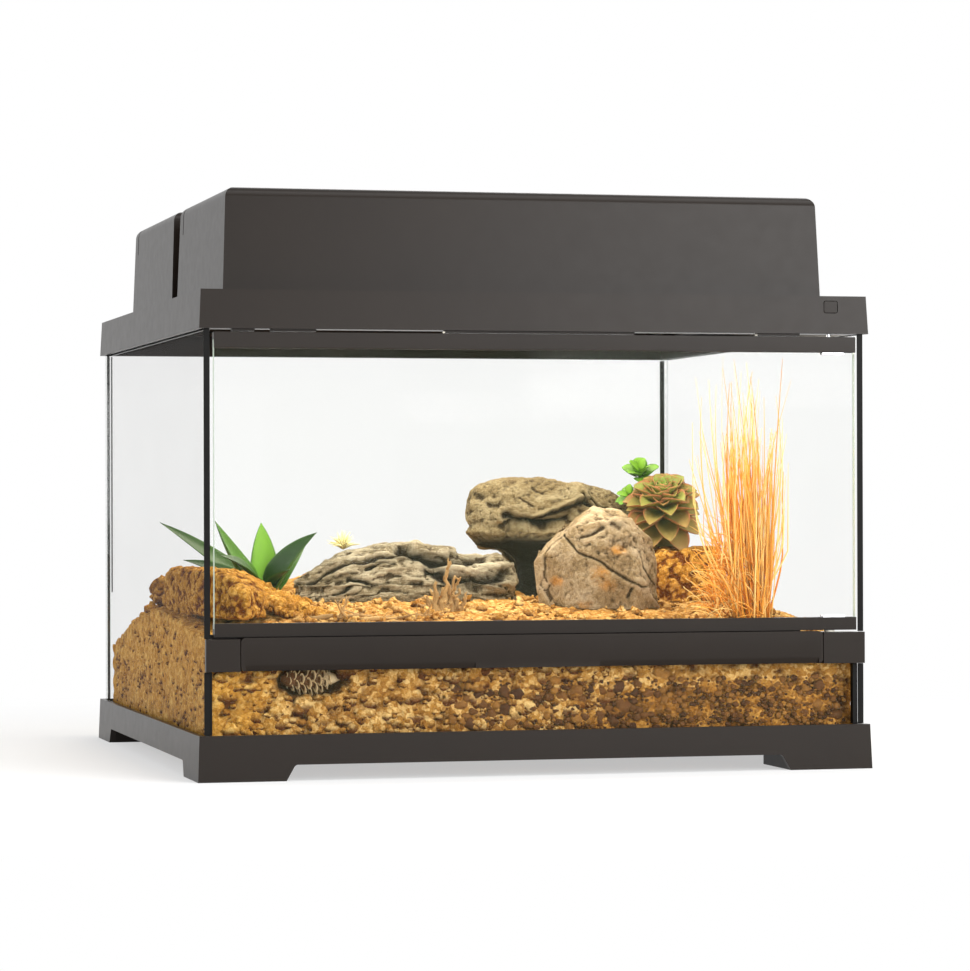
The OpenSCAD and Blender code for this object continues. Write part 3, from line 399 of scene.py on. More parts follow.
def cone_material(dark, middle, edge):
    g = Graph("ConeScale", Specular_IOR_Level=0.3, Roughness=0.7)
    pale = (g.attribute("across").step(0.45, 0.85)).high(g.attribute("along").step(0.5, 0.85))
    lines = g.noise(1.2, 4, 0.7)
    g.set(Base_Color=g.mix(pale * 0.9, g.mix(lines, dark, middle), edge))
    g.bump(lines, 0.4, 0.8)
    return g.material


# Meshes


def make(name, bm, materials, body, stands_for=(), smooth=True):
    """Turns a bmesh in millimetres into a piece that rides on a body."""
    bmesh.ops.scale(bm, vec=(MM, MM, MM), verts=bm.verts)
    return link(name, bm, materials, body, stands_for, smooth)


def link(name, bm, materials, body, stands_for=(), smooth=True):
    """The same for a bmesh that is already in metres."""
    mesh = bpy.data.meshes.new(name)
    bm.to_mesh(mesh)
    bm.free()
    for material in materials:
        mesh.materials.append(material)
    mesh.polygons.foreach_set("use_smooth", [smooth] * len(mesh.polygons))
    piece = bpy.data.objects.new(name, mesh)
    bpy.context.scene.collection.objects.link(piece)
    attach(piece, body)
    if stands_for:
        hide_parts(*stands_for)
    return piece


def layer(bm, name):
    """Float layer on the vertices."""
    return bm.verts.layers.float.get(name) or bm.verts.layers.float.new(name)


def lump(p, size):
    """Round bumps, 1 on their crowns and 0 between them."""
    near = noise.voronoi(p / size)[0][0]
    return math.sqrt(max(0.0, 1.0 - min(1.0, near / 0.72) ** 2))


def fractal(p, size, octaves=4):
    return noise.fractal(p / size, 0.8, 2.0, octaves)


def cad_mesh(*nodes):
    """Merged copy of CAD nodes, with flat faces in one piece."""
    bm = bmesh.new()
    for node in nodes:
        bm.from_mesh(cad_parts[node].data)
    bmesh.ops.remove_doubles(bm, verts=bm.verts, dist=1e-6)
    bmesh.ops.dissolve_limit(bm, angle_limit=math.radians(0.4), verts=bm.verts, edges=bm.edges)
    return bm


def moulded(node, body, material, width):
    """CAD node as a moulding, with its corners rounded."""
    name = "Look_" + node
    piece = link(name, cad_mesh(node), [material], body, [node])
    soft = piece.modifiers.new("Rounded", "BEVEL")
    soft.width = width
    soft.segments = 2
    soft.limit_method = "ANGLE"
    soft.angle_limit = math.radians(38)
    soft.use_clamp_overlap = True
    even = piece.modifiers.new("EvenNormals", "WEIGHTED_NORMAL")
    even.mode = "FACE_AREA"
    even.weight = 100
    even.keep_sharp = True
    return piece


def box_mm(node):
    low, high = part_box(node)
    return low / MM, high / MM


def paint_cad(material, *nodes):
    """Gives CAD nodes that stay as they are their finish."""
    for node in nodes:
        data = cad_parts[node].data
        data.materials.clear()
        data.materials.append(material)


def remeshed(node, voxel):
    """Even mesh over a CAD node, in millimetres."""
    bm = cad_mesh(node)
    mesh = bpy.data.meshes.new("remesh")
    bm.to_mesh(mesh)
    bm.free()
    holder = bpy.data.objects.new("remesh", mesh)
    bpy.context.scene.collection.objects.link(holder)
    grid = holder.modifiers.new("Grid", "REMESH")
    grid.mode = "VOXEL"
    grid.voxel_size = voxel * MM
    graph = bpy.context.evaluated_depsgraph_get()
    even = bmesh.new()
    even.from_object(holder, graph)
    bpy.data.objects.remove(holder)
    bmesh.ops.scale(even, vec=(1000, 1000, 1000), verts=even.verts)
    return even


def craggy(node, name, body, material, voxel, smooth, relief, depth=1.2):
    """Stone or earth over a CAD node.

    Relief gives the lift at a point with its normal, the painted shade of its gaps, cracks and ledges, and an amount of
    stain.
    Hollows get a low painted shade value, which darkens them with painted shade.
    """
    low, high = box_mm(node)
    margin = (high - low) * 0.02
    bm = remeshed(node, voxel)
    cavity, gloom, stain = (layer(bm, kind) for kind in ("cavity", "gloom", "stain"))
    for _ in range(smooth):
        bmesh.ops.smooth_vert(bm, verts=bm.verts, factor=0.5, use_axis_x=True, use_axis_y=True, use_axis_z=True)
    bm.normal_update()
    bm.verts.index_update()
    found = [relief(v.co, v.normal) for v in bm.verts]
    near = [[e.other_vert(v).index for e in v.link_edges] for v in bm.verts]
    level = [lift for lift, _, _ in found]
    for _ in range(12):
        level = [(level[i] + sum(level[j] for j in ring)) / (1 + len(ring)) for i, ring in enumerate(near)]
    for v, (lift, dark, spot), mean in zip(bm.verts, found, level):
        target = v.co + v.normal * lift
        v.co = [min(max(target[i], low[i] - margin[i]), high[i] + margin[i]) for i in range(3)]
        # Painted shade: points lower than their surroundings get a low value and are drawn darker
        v[cavity] = min(1.0, max(0.0, 0.5 + (lift - mean) / depth))
        # Painted black shade in gaps, cracks and under ledges
        v[gloom] = min(1.0, dark)
        v[stain] = min(1.0, max(0.0, spot))
    return make(name, bm, [material], body, [node])


@functools.cache
def round_mesh(rings):
    """Points and faces of an even ball."""
    bm = bmesh.new()
    bmesh.ops.create_icosphere(bm, subdivisions=rings, radius=1.0)
    points = [v.co.copy() for v in bm.verts]
    faces = [[v.index for v in f.verts] for f in bm.faces]
    bm.free()
    return points, faces


def ball(bm, centre, radii, turn, seed, rough, rings=2, tone=0.5):
    """Uneven pebble or clump."""
    shade = layer(bm, "tone")
    points, faces = round_mesh(rings)
    offset = Vector((seed * 7.13 % 91, seed * 3.7 % 57, seed * 1.9 % 33))
    made = []
    for p in points:
        swell = 1 + rough * noise.noise(p * 1.3 + offset) + 0.4 * rough * noise.noise(p * 3.1 + offset)
        point = Vector((p.x * radii[0], p.y * radii[1], p.z * radii[2])) * swell
        v = bm.verts.new(turn @ point + centre)
        v[shade] = tone
        made.append(v)
    for face in faces:
        bm.faces.new([made[i] for i in face])
    return made


def random_turn(rng, limit=math.pi):
    return (
        Matrix.Rotation(rng.uniform(-limit, limit), 3, "X")
        @ Matrix.Rotation(rng.uniform(-limit, limit), 3, "Y")
        @ Matrix.Rotation(rng.uniform(0, 2 * math.pi), 3, "Z")
    )


def tube(bm, points, radii, sides=5, tone=0.5):
    """Closed tube along points."""
    shade, along = layer(bm, "tone"), layer(bm, "along")
    rings = []
    side = None
    for k, point in enumerate(points):
        ahead = points[min(k + 1, len(points) - 1)] - points[max(k - 1, 0)]
        ahead.normalize()
        if side is None:
            side = ahead.orthogonal().normalized()
        side = (side - ahead * side.dot(ahead)).normalized()
        up = ahead.cross(side)
        ring = []
        for i in range(sides):
            turn = 2 * math.pi * i / sides
            v = bm.verts.new(point + (side * math.cos(turn) + up * math.sin(turn)) * radii[k])
            v[shade] = tone
            v[along] = k / (len(points) - 1)
            ring.append(v)
        rings.append(ring)
    for a, b in zip(rings, rings[1:]):
        for i in range(sides):
            j = (i + 1) % sides
            bm.faces.new((a[i], a[j], b[j], b[i]))
    bm.faces.new(rings[0][::-1])
    bm.faces.new(rings[-1])


def leaf(bm, root, tip, up, width, thick, shape, bow=0.0, cup=0.0, tone=1.0, steps=14, sides=12):
    """Closed leaf with a lens section from root to tip. Shape gives the width at each share of the length."""
    tones, along, across = (layer(bm, name) for name in ("tone", "along", "across"))
    run = tip - root
    side = run.cross(up).normalized()
    top = side.cross(run).normalized()
    rings = []
    for k in range(steps + 1):
        u = k / steps
        centre = root + run * u + top * (4 * bow * u * (1 - u))
        w = max(0.12, width / 2 * shape(u))
        h = max(0.1, thick / 2 * (1 - 0.8 * u) * min(1.0, 0.35 + shape(u)))
        ring = []
        for i in range(sides):
            turn = 2 * math.pi * i / sides
            s = math.cos(turn)
            t = math.sin(turn)
            rise = cup * w * s * s + h * t * (0.55 if t > 0 else 1.0)
            v = bm.verts.new(centre + side * (w * s) + top * rise)
            v[tones] = tone
            v[along] = u
            v[across] = abs(s)
            ring.append(v)
        rings.append(ring)
    for a, b in zip(rings, rings[1:]):
        for i in range(sides):
            j = (i + 1) % sides
            bm.faces.new((a[i], a[j], b[j], b[i]))
    bm.faces.new(rings[0][::-1])
    bm.faces.new(rings[-1])


def outward(bm):
    bmesh.ops.recalc_face_normals(bm, faces=bm.faces)


# Landscape


SAND_Z = 90.0
BED_X = 221.2
BED_FRONT = -216.2
BED_BACK = 221.2
BED_LOW = 18.1
SEAM = 52.1


def ground(x, y):
    """Height of the CAD's sand."""
    across = x / BED_X
    return (
        SAND_Z
        + 19 * math.sin(math.pi * (y - BED_FRONT) / (BED_BACK - BED_FRONT))
        - 5 * across**4
        - 14 * max(0.0, -across) ** 2 * max(0.0, y / BED_BACK) ** 1.5
        + 36 * math.exp(-(((x + 42) / 78) ** 2) - ((y - 84) / 27) ** 2)
    )


def sand_top(x, y):
    """Height of the sand with its clumps, and its painted shade, darker where a point lies deep between them."""
    p = Vector((x, y, 0))
    fine = 1.8 * lump(p, 5.5) + 1.9 * lump(p + Vector((40, 9, 3)), 12.0)
    z = ground(x, y) + 2.4 * fractal(p, 34, 5) + fine - 2.2
    if y < -213.5:
        z = min(z, 79.5)
    return z, min(1.0, 0.2 + 0.26 * fine)


CONE_AT = (-151.0, 65.0)


def sunk(p):
    """How far the side skin of the bed lies back from the panes, and its painted shade, darker between the lumps and in
    the pocket round the pine cone.
    """
    near = lump(p, 5.0)
    wide = lump(p + Vector((17, 5, 2)), 12.0)
    share = max(near * 0.7, wide)
    back = 6.5 * (1 - share)
    if p.y < BED_FRONT + 1:
        cone = ((p.x - CONE_AT[0]) / 23) ** 2 + ((p.z - CONE_AT[1]) / 13) ** 2 + 0.35 * noise.noise(p / 6)
        if cone < 1.15:
            # Painted shade in the pocket round the pine cone
            return 25.0 * min(1.0, (1.15 - cone) / 0.4) + back, 0.3
    return back, min(1.0, 0.05 + 0.85 * share)


def bed(name, low, high, top, nodes, material, cell=2.2):
    """Closed block of sand or gravel with an uneven skin. Top gives the height at a point and its painted shade."""
    bm = bmesh.new()
    cavity = layer(bm, "cavity")
    nx = round(2 * BED_X / cell)
    ny = round((BED_BACK - BED_FRONT) / cell)
    made = bmesh.ops.create_grid(bm, x_segments=nx, y_segments=ny, size=1.0)["verts"]
    mid_y = (BED_FRONT + BED_BACK) / 2
    half_y = (BED_BACK - BED_FRONT) / 2
    for v in made:
        x, y = v.co.x * BED_X, mid_y + v.co.y * half_y
        z, shade = top(x, y)
        v.co = Vector((x, y, z))
        v[cavity] = shade
    edges = [e for e in bm.edges if e.is_boundary]
    heights = {}
    for e in edges:
        for v in e.verts:
            heights[(round(v.co.x, 3), round(v.co.y, 3))] = v.co.z
    rows = max(8, round((high - low) / cell))
    skins = [{v for e in edges for v in e.verts}]
    for k in range(1, rows + 1):
        made = bmesh.ops.extrude_edge_only(bm, edges=edges)["geom"]
        edges = [g for g in made if isinstance(g, bmesh.types.BMEdge)]
        verts = {v for e in edges for v in e.verts}
        for v in verts:
            start = heights[(round(v.co.x, 3), round(v.co.y, 3))]
            v.co.z = start + (low - start) * k / rows
        skins.append(verts)
    for verts in skins:
        for v in verts:
            x, y = v.co.x, v.co.y
            back, shade = sunk(v.co)
            if abs(abs(x) - BED_X) < 0.01:
                v.co.x = x - math.copysign((0.5 if x < 0 else 0.2) * back, x)
                # Painted shade is weaker on the skin by the side panes
                shade = 0.25 + 0.75 * shade
            if y - BED_FRONT < 0.01:
                v.co.y = y + back
            elif BED_BACK - y < 0.01:
                v.co.y = y - back
            v[cavity] = shade
    bmesh.ops.edgeloop_fill(bm, edges=edges)
    outward(bm)
    return make(name, bm, [material], "tank", nodes)


def build_bed(material):
    bed("SandBed", SEAM - 0.4, 92.0, sand_top, ["sand_bed"], material)
    bed("GravelLayer", BED_LOW, SEAM, lambda x, y: (SEAM - 0.2, 0.5), ["gravel_layer"], material, 3.0)


def build_clumps(material, count, seed):
    """Crumbs of sand lying on the bed."""
    rng = random.Random(seed)
    bm = bmesh.new()
    layer(bm, "tone")
    cavity = layer(bm, "cavity")
    for k in range(count):
        x = rng.uniform(-BED_X + 5, BED_X - 5)
        y = BED_FRONT + 8 + (BED_BACK - BED_FRONT - 16) * rng.random() ** 1.5
        r = 0.9 + 3.8 * rng.random() ** 4
        z = sand_top(x, y)[0] + 0.25 * r
        radii = (r, r * rng.uniform(0.7, 1.0), r * rng.uniform(0.55, 0.85))
        tone = rng.uniform(-1, 1)
        for v in ball(bm, Vector((x, y, z)), radii, random_turn(rng), k, 0.9, 2 if r > 1.5 else 1, tone):
            # Painted light and shade: each crumb is lighter on top and darker underneath
            v[cavity] = min(1.0, 0.5 + 0.7 * (v.co.z - z) / r)
    return make("SandCrumbs", bm, [material], "tank")


def build_pebbles(material, count, seed):
    """Pebbles and grit pressed against the sill pane and the right pane."""
    rng = random.Random(seed)
    bm = bmesh.new()
    placed = []

    def try_place(centre, r, side, tone, rings=3):
        for other, size in placed:
            if (other - centre).length < 0.8 * (size + r):
                return
        placed.append((centre, r))
        flat = 0.6 + 0.3 * rng.random()
        radii = (r * rng.uniform(0.95, 1.35), r * flat, r * rng.uniform(0.8, 1.05))
        if side:
            radii = (radii[1], radii[0], radii[2])
        turn = random_turn(rng, 0.35)
        inside = min(radii[:2]) * 0.88
        at = centre.copy()
        if side:
            at.x = math.copysign(BED_X - inside - 0.4, centre.x)
        else:
            at.y = BED_FRONT + inside + 0.4
        lean = Matrix.Rotation(turn.to_euler().y, 3, "X" if side else "Y")
        ball(bm, at, radii, lean, len(placed), 0.3, rings, tone)

    for _ in range(count):
        x = rng.uniform(-60, 214)
        share = rng.random()
        if x < 90:
            z = rng.gauss(44, 7.0)
            r = 2.6 + 4.2 * share**1.6
        else:
            z = rng.uniform(32, 62)
            r = 1.5 + (3.6 if x > 185 else 0.9) * share**1.6
        if 27 < z < 68 - 6 * math.sin(x / 28):
            try_place(Vector((x, BED_FRONT + 4, z)), r, False, rng.random())
    for _ in range(3 * count):
        x = rng.uniform(-40, 216)
        z = rng.uniform(25, 62)
        try_place(Vector((x, BED_FRONT + 4, z)), 0.9 + 1.1 * rng.random() ** 2, False, rng.random(), 2)
    for _ in range(count // 2):
        y = rng.uniform(-205, 190)
        z = rng.uniform(26, 62)
        try_place(Vector((BED_X, y, z)), 2.0 + 4.2 * rng.random() ** 2, True, rng.random())
    return make("Pebbles", bm, [material], "tank")


def build_sand_lumps(material, count, seed):
    """Clumps of sand pressed against the sill pane and the left pane."""
    rng = random.Random(seed)
    bm = bmesh.new()
    layer(bm, "tone")
    cavity = layer(bm, "cavity")
    for k in range(count):
        r = 1.8 + 6.8 * rng.random() ** 2.0
        front = k % 3 > 0
        if front:
            x, z = rng.uniform(-214, 214), rng.uniform(25, 76)
            if ((x - CONE_AT[0]) / 27) ** 2 + ((z - CONE_AT[1]) / 16) ** 2 < 1 or z < 60 * (x - 20) / 60:
                continue
            if x > 60:
                r *= 0.55
            centre = Vector((x, BED_FRONT + 0.62 * r + 0.4, z))
            radii = (r * 0.95, r * 0.62, r * 0.8)
        else:
            y = rng.uniform(-212, 204)
            z = rng.uniform(30, ground(-BED_X, y) - 7)
            r = min(r, 5.0)
            centre = Vector((-BED_X + 0.62 * r + 0.4, y, z))
            radii = (r * 0.62, r * 0.95, r * 0.8)
        for v in ball(bm, centre, radii, Matrix.Identity(3), k, 0.8, 3 if r > 6.4 else 2, rng.uniform(-1, 1)):
            if front:
                v.co.y = max(v.co.y, BED_FRONT + 0.2)
            else:
                v.co.x = max(v.co.x, -BED_X + 0.2)
            # Painted light and shade: each lump is lighter on top and darker underneath
            v[cavity] = min(1.0, 0.52 + 0.8 * (v.co.z - centre.z) / r)
    return make("SandLumps", bm, [material], "tank")


def earth_relief(p, normal):
    near = lump(p, 7.5)
    fine = lump(p + Vector((3, 8, 1)), 3.4)
    return 4.0 * fractal(p, 30, 4) + 2.2 * near + 1.1 * fine - 2.2, 0.0, 0.0


def build_mounds(material):
    craggy("left_earth_mound", "LeftMound", "tank", material, 1.6, 14, earth_relief)
    craggy("rear_earth_mound", "RearMound", "tank", material, 1.6, 8, earth_relief)


def build_earth_crumbs(material, count, seed):
    """Crumbled earth on the right flank of the left mound, down to the sand, and behind the mound."""
    rng = random.Random(seed)
    bm = bmesh.new()
    layer(bm, "tone")
    cavity = layer(bm, "cavity")
    for k in range(count):
        share = rng.random()
        x = -172 + 52 * share
        y = rng.uniform(-128, 30)
        z = ground(x, y) + (26 - 4 * rng.random()) * (1 - share) ** 1.4 * (1 - (abs(y + 48) / 90) ** 3)
        r = 1.6 + 5.2 * rng.random() ** 2.2
        tone = rng.uniform(-1, 1)
        for v in ball(bm, Vector((x, y, z)), (r, r * 0.9, r * 0.8), random_turn(rng), k, 0.5, 2, tone):
            # Painted light and shade: each crumb is lighter on top and darker underneath
            v[cavity] = min(1.0, 0.6 + 0.6 * (v.co.z - z) / r)
    for k in range(count // 3):
        r = 2.6 + 4.6 * rng.random() ** 1.5
        x = max(rng.uniform(-214, -162), -218.5 + r)
        y = rng.uniform(48, 118)
        heap = 25 * (1 - ((y - 48) / 74) ** 2) * (1 - (abs(x + 192) / 40) ** 3)
        z = ground(x, y) + heap * rng.random() ** 0.35 - 0.4 * r
        tone = rng.uniform(-1, 1)
        for v in ball(bm, Vector((x, y, z)), (r, r * 0.95, r * 0.85), random_turn(rng), k + 7, 0.5, 2, tone):
            # Painted light and shade: each crumb is lighter on top and darker underneath
            v[cavity] = min(1.0, 0.6 + 0.6 * (v.co.z - z) / r)
    return make("EarthCrumbs", bm, [material], "tank")


def gap(p, a, b):
    """Distance from a point to a piece of a line."""
    run = b - a
    share = min(1.0, max(0.0, (p - a).dot(run) / run.length_squared))
    return (p - a - run * share).length


def cut(p, points, width):
    """1 on a line drawn across the front and 0 away from it. Points are places across the photo and heights."""
    here = Vector((p.dot(ACROSS), p.z)) + Vector(noise.noise_vector(p / 9)[:2]) * 1.6
    spots = [Vector(point) for point in points]
    if not min(q.x for q in spots) - 3 * width < here.x < max(q.x for q in spots) + 3 * width:
        return 0.0
    near = min(gap(here, a, b) for a, b in zip(spots, spots[1:]))
    return math.exp(-((near / width) ** 2))


def shelf(p, points, rise, drop):
    """Ledge along a line across the front: its lift, and the painted shadow under it."""
    here = p.dot(ACROSS)
    if not points[0][0] < here < points[-1][0]:
        return 0.0, 0.0
    for a, b in zip(points, points[1:]):
        if here <= b[0]:
            level = a[1] + (b[1] - a[1]) * (here - a[0]) / (b[0] - a[0])
            break
    over = p.z - level + 2.5 * noise.noise(p / 8)
    end = min(1.0, (here - points[0][0]) / 8, (points[-1][0] - here) / 8)
    if over > 0:
        return rise * end * math.exp(-over / 22), 0.0
    return -drop * end * math.exp(over / 9), end * math.exp(over / 5)


def flats(p, size):
    """Tilted flats that meet in creases."""
    q = p / size + 0.12 * Vector(noise.noise_vector(p / size * 2))
    near, cells = noise.voronoi(q)
    sides = [(q - c).dot(Vector(noise.noise_vector(c * 3.7))) + 0.45 * noise.noise(c * 5.1) for c in cells[:2]]
    blend = min(1.0, (near[1] - near[0]) / 0.22)
    return sides[0] * (0.5 + 0.5 * blend) + sides[1] * (0.5 - 0.5 * blend)


def seen(normal):
    """1 on sides that face the camera and 0 on those that face away."""
    return min(1.0, max(0.0, 0.55 - 2 * normal.dot(AHEAD)))


# Painted shade darkens the cuts below, and painted shadow lies under the lip
# Lines on the stones: width, depth and points as places across the photo and heights
UPPER_LIP = ((26, 164), (40, 168), (55, 170), (70, 174), (84, 180), (100, 186))
UPPER_CUTS = (
    (3.4, 6.0, ((33, 170), (48, 167), (64, 164), (80, 169))),
    (0.6, 1.4, ((44, 184), (54, 177))),
    (0.8, 1.0, ((53, 191), (61, 187))),
    (1.5, 4.0, ((92, 186), (101, 178), (110, 176))),
    (1.0, 3.0, ((97, 189), (105, 178))),
    (3.0, 1.6, ((9, 188), (14, 184))),
    (2.4, 1.8, ((20, 179), (26, 178))),
)
BOULDER_CUTS = (
    (0.8, 1.7, ((72, 160), (76, 154), (84, 145), (92, 142), (103, 135), (115, 128), (129, 121), (134, 121))),
    (1.6, 1.6, ((86, 157), (93, 159), (101, 163))),
    (0.6, 1.2, ((130, 142), (135, 131), (143, 122))),
    (1.2, 1.6, ((118, 114), (122, 119))),
    (2.6, 1.6, ((108, 166), (114, 164))),
)
BOULDER_STAINS = ((99, 131, 10), (103, 121, 9), (111, 147, 8), (66, 124, 9), (88, 108, 8))
SLAB_CUTS = (
    (3.6, 9.0, ((-43, 149), (-28, 145), (-13, 141), (3, 141), (16, 142))),
    (5.2, 8.0, ((-20, 134), (-11, 128), (-2, 125), (11, 124), (29, 126))),
    (1.2, 3.0, ((-67, 135), (-59, 138), (-46, 139))),
    (1.5, 4.0, ((-80, 127), (-59, 123), (-45, 122), (-27, 123))),
    (2.8, 6.0, ((38, 142), (45, 118))),
    (1.4, 3.0, ((-114, 120), (-96, 132), (-82, 137), (-44, 144))),
    (1.2, 3.0, ((-90, 115), (-75, 121), (-60, 120))),
)


def cuts(p, normal, lines):
    """Lift of a set of cuts, and the painted shade in them."""
    facing = seen(normal)
    lift = dark = 0.0
    if facing > 0:
        for width, depth, points in lines:
            amount = facing * cut(p, points, width)
            lift -= depth * amount
            dark = max(dark, amount * min(1.0, depth / 4))
    return lift, dark


def upper_rock_relief(p, normal):
    facing = seen(normal)
    lift, dark = cuts(p, normal, UPPER_CUTS)
    rise, shadow = shelf(p, UPPER_LIP, 3.4, 5.5)
    turn = Matrix.Rotation(0.28, 3, "Y")
    q = turn @ p
    grain = fractal(Vector((q.x * 0.3, q.y * 0.6, q.z)), 6, 5)
    chunky = 1.0 if p.z < 178 else 0.3
    body = 3.6 * flats(p, 38) + 2.0 * fractal(p, 34, 3) + 2.6 * chunky * flats(p + Vector((9, 3, 5)), 13)
    fine = 0.9 * grain + 0.5 * fractal(p, 3.2, 4)
    foot = min(1.0, max(0.0, (157 - p.z) / 6))
    stem = foot * min(1.0, max(0.0, 0.3 - normal.dot(ACROSS) + 0.6 * facing))
    # Painted shadow under the lip, and painted shade at the foot and on the stem of the stone
    dark = max(dark, 0.8 * shadow * facing, foot * min(1.0, 0.3 + facing))
    lift += 12 * foot * max(0.0, normal.dot(AHEAD))
    return body + fine + lift + rise * facing + 4 * stem - 2.0, dark, 0.3 * noise.noise(p / 20)


def boulder_relief(p, normal):
    lift, dark = cuts(p, normal, BOULDER_CUTS)
    here = p.dot(ACROSS)
    # The shoulders fall away to both sides of the crown
    lift -= max(0.0, 0.735 * (p.z - 150) - 0.678 * (here - 64))
    lift -= max(0.0, 0.719 * (p.z - 180) + 0.695 * (here - 112))
    above = min(1.0, max(0.0, (p.z - 142 + 0.55 * (here - 92)) / 8))
    body = 8.0 * flats(p + Vector((4, 0, 9)), 46) + 1.4 * fractal(p, 34, 3)
    rough = (0.3 + 0.9 * above) * (fractal(p, 9, 5) + 1.6 * flats(p, 14))
    fine = 0.4 * fractal(p, 2.8, 4)
    stain = sum(math.exp(-(((here - s) / r) ** 2) - ((p.z - z) / r * 1.8) ** 2) for s, z, r in BOULDER_STAINS)
    return body + rough + fine + lift - 3.0, dark, 0.7 * stain + 0.12 * above


def slab_relief(p, normal):
    lift, dark = cuts(p, normal, SLAB_CUTS)
    here = p.dot(ACROSS)
    arch = 16 * math.sin(math.pi * (here + 118) / 165)
    flow = Vector((here * 0.16, p.dot(AHEAD) * 0.5, p.z - arch))
    level = (p.z - arch) / 9.5 + 1.1 * fractal(flow + Vector((0, here * 0.3, 0)), 22, 4)
    number = math.floor(level)
    share = level - number
    ridge = 1 - abs(2 * share - 1) ** 6
    stand = noise.noise(Vector((here / 22, p.dot(AHEAD) / 26, number * 7.3)))
    grain = fractal(flow, 4, 5)
    split = max(0.0, noise.noise(Vector((here / 16, 3.1, p.z / 16))))
    body = 2.6 * fractal(p, 34, 3) + 2.6 * ridge * split + 4.2 * stand + 1.5 * grain + 2.2 * flats(p, 22)
    # The right end stands as high as the middle
    lift += 9.0 * math.exp(-(((here - 30) / 17) ** 2)) * min(1.0, max(0.0, (p.z - 114) / 8))
    # Painted shade in the grooves between the split ridges
    return body + 0.6 * fractal(p, 3.4, 4) + lift - 3.4, max(dark, 0.5 * split * (1 - ridge)), 0.25 * noise.noise(p / 24)


def build_rocks(upper, boulder, slab, voxel):
    craggy("upper_rock", "UpperRock", "tank", upper, voxel, 8, upper_rock_relief, 1.6)
    craggy("boulder", "Boulder", "tank", boulder, voxel, 8, boulder_relief, 1.6)
    craggy("driftwood_slab", "DriftwoodSlab", "tank", slab, voxel, 5, slab_relief, 1.8)


# Plants


def aloe_shape(u):
    return min(1.0, 0.66 + 1.3 * u) * max(0.0, 1 - u**2.5)


ALOE_ROOT = (-150.7, -40.0, 116.5)
# Tip, width, thickness, bow and painted sunlight of each leaf
ALOE_LEAVES = (
    ((-212.7, 38.0, 166.5), 17, 6.5, 3, 0.12),
    ((-189.5, -60.0, 167.9), 25, 8.0, -3, 0.42),
    ((-149.3, -18.0, 166.4), 22, 9.0, 2, 1.0),
    ((-117.7, -60.0, 159.6), 25, 8.5, 5, 0.04),
    ((-202.8, -4.0, 140.1), 18, 6.0, 5, 0.05),
    ((-188.0, -70.0, 144.3), 21, 6.5, 6, 0.05),
    ((-118.4, -20.0, 148.9), 20, 6.5, 5, 0.2),
    ((-139.0, -76.0, 134.1), 18, 6.0, 4, 0.02),
)


def build_aloe(material):
    bm = bmesh.new()
    root = Vector(ALOE_ROOT)
    for k, (tip, width, thick, bow, tone) in enumerate(ALOE_LEAVES):
        tip = Vector(tip)
        start = root + (tip - root).normalized() * 2 + Vector((0, 0, -3))
        # The tone of each leaf is its painted sunlight
        leaf(bm, start, tip, Vector((0.0, -0.6, 1.0)), width, thick, aloe_shape, bow, 0.3, tone, 24, 16)
    tube(bm, [root + Vector((0, 0, -14)), root + Vector((0, 0, -7)), root], [4.2, 6.0, 6.6], 12, 0.0)
    outward(bm)
    return make("Aloe", bm, [material], "tank", ["aloe_plant"])


def spoon_shape(u):
    """Narrow foot, broad shoulders and a short point."""
    swell = 0.42 + 0.58 * math.sin(math.pi / 2 * min(1.0, u / 0.58)) ** 1.4
    return swell * max(0.0, 1 - max(0.0, (u - 0.58) / 0.42) ** 1.9) ** 0.6


def whorl(bm, centre, axis, count, reach, width, thick, shape, cup, first=80.0, last=-14.0, bright=1.0):
    """Leaves round an axis, from nearly upright in the middle to drooping at the outside."""
    turn_to = Vector((0, 0, 1)).rotation_difference(axis.normalized()).to_matrix()
    for k in range(count):
        out = k / (count - 1)
        turn = GOLDEN * k + 0.4
        rise = math.radians(first + (last - first) * out**0.8)
        flat = Vector((math.cos(turn), math.sin(turn), 0))
        run = flat * math.cos(rise) + Vector((0, 0, math.sin(rise)))
        up = Vector((0, 0, math.cos(rise))) - flat * math.sin(rise)
        base = flat * (1.0 + 0.1 * reach[1] * out) + Vector((0, 0, reach[1] * (0.3 - 0.42 * out)))
        length = reach[0] + (reach[1] - reach[0]) * out**0.7
        leaf(
            bm,
            centre + turn_to @ base,
            centre + turn_to @ (base + run * length),
            turn_to @ up,
            width[0] + (width[1] - width[0]) * out**0.6,
            thick,
            shape,
            0.06 * length,
            cup,
            bright * (1 - out) ** 0.8,
            14,
            12,
        )


def build_rosette(material, count):
    low, high = box_mm("rosette_plant")
    bm = bmesh.new()
    centre = Vector((in_middle(low.x, high.x) - 8, in_middle(low.y, high.y) - 4, high.z - 10))
    lean = Vector((-0.2, -0.6, 1.0))
    whorl(bm, centre, lean, count * 2 // 3, (11, 24), (9, 17), 5.0, spoon_shape, 0.75, 82, 30)
    whorl(bm, centre - Vector((0, 0, 7)), lean, count // 2, (24, 29), (16, 18), 4.8, spoon_shape, 0.7, 36, 8, 0.7)
    whorl(bm, centre - Vector((0, -3, 15)), lean, count // 2, (25, 28), (16, 18), 4.4, spoon_shape, 0.6, 10, -18, 0.4)
    stem = [Vector((centre.x, centre.y + 4, z)) for z in (low.z + 0.3, low.z + 10, centre.z)]
    tube(bm, stem, [9.0, 7.5, 5], 12, 0.0)
    outward(bm)
    return make("Rosette", bm, [material], "tank", ["rosette_plant"])


def round_shape(u):
    return 0.25 + 0.75 * math.sin(math.pi * min(1.0, 0.1 + 0.9 * u)) ** 0.7 if u < 0.98 else 0.2


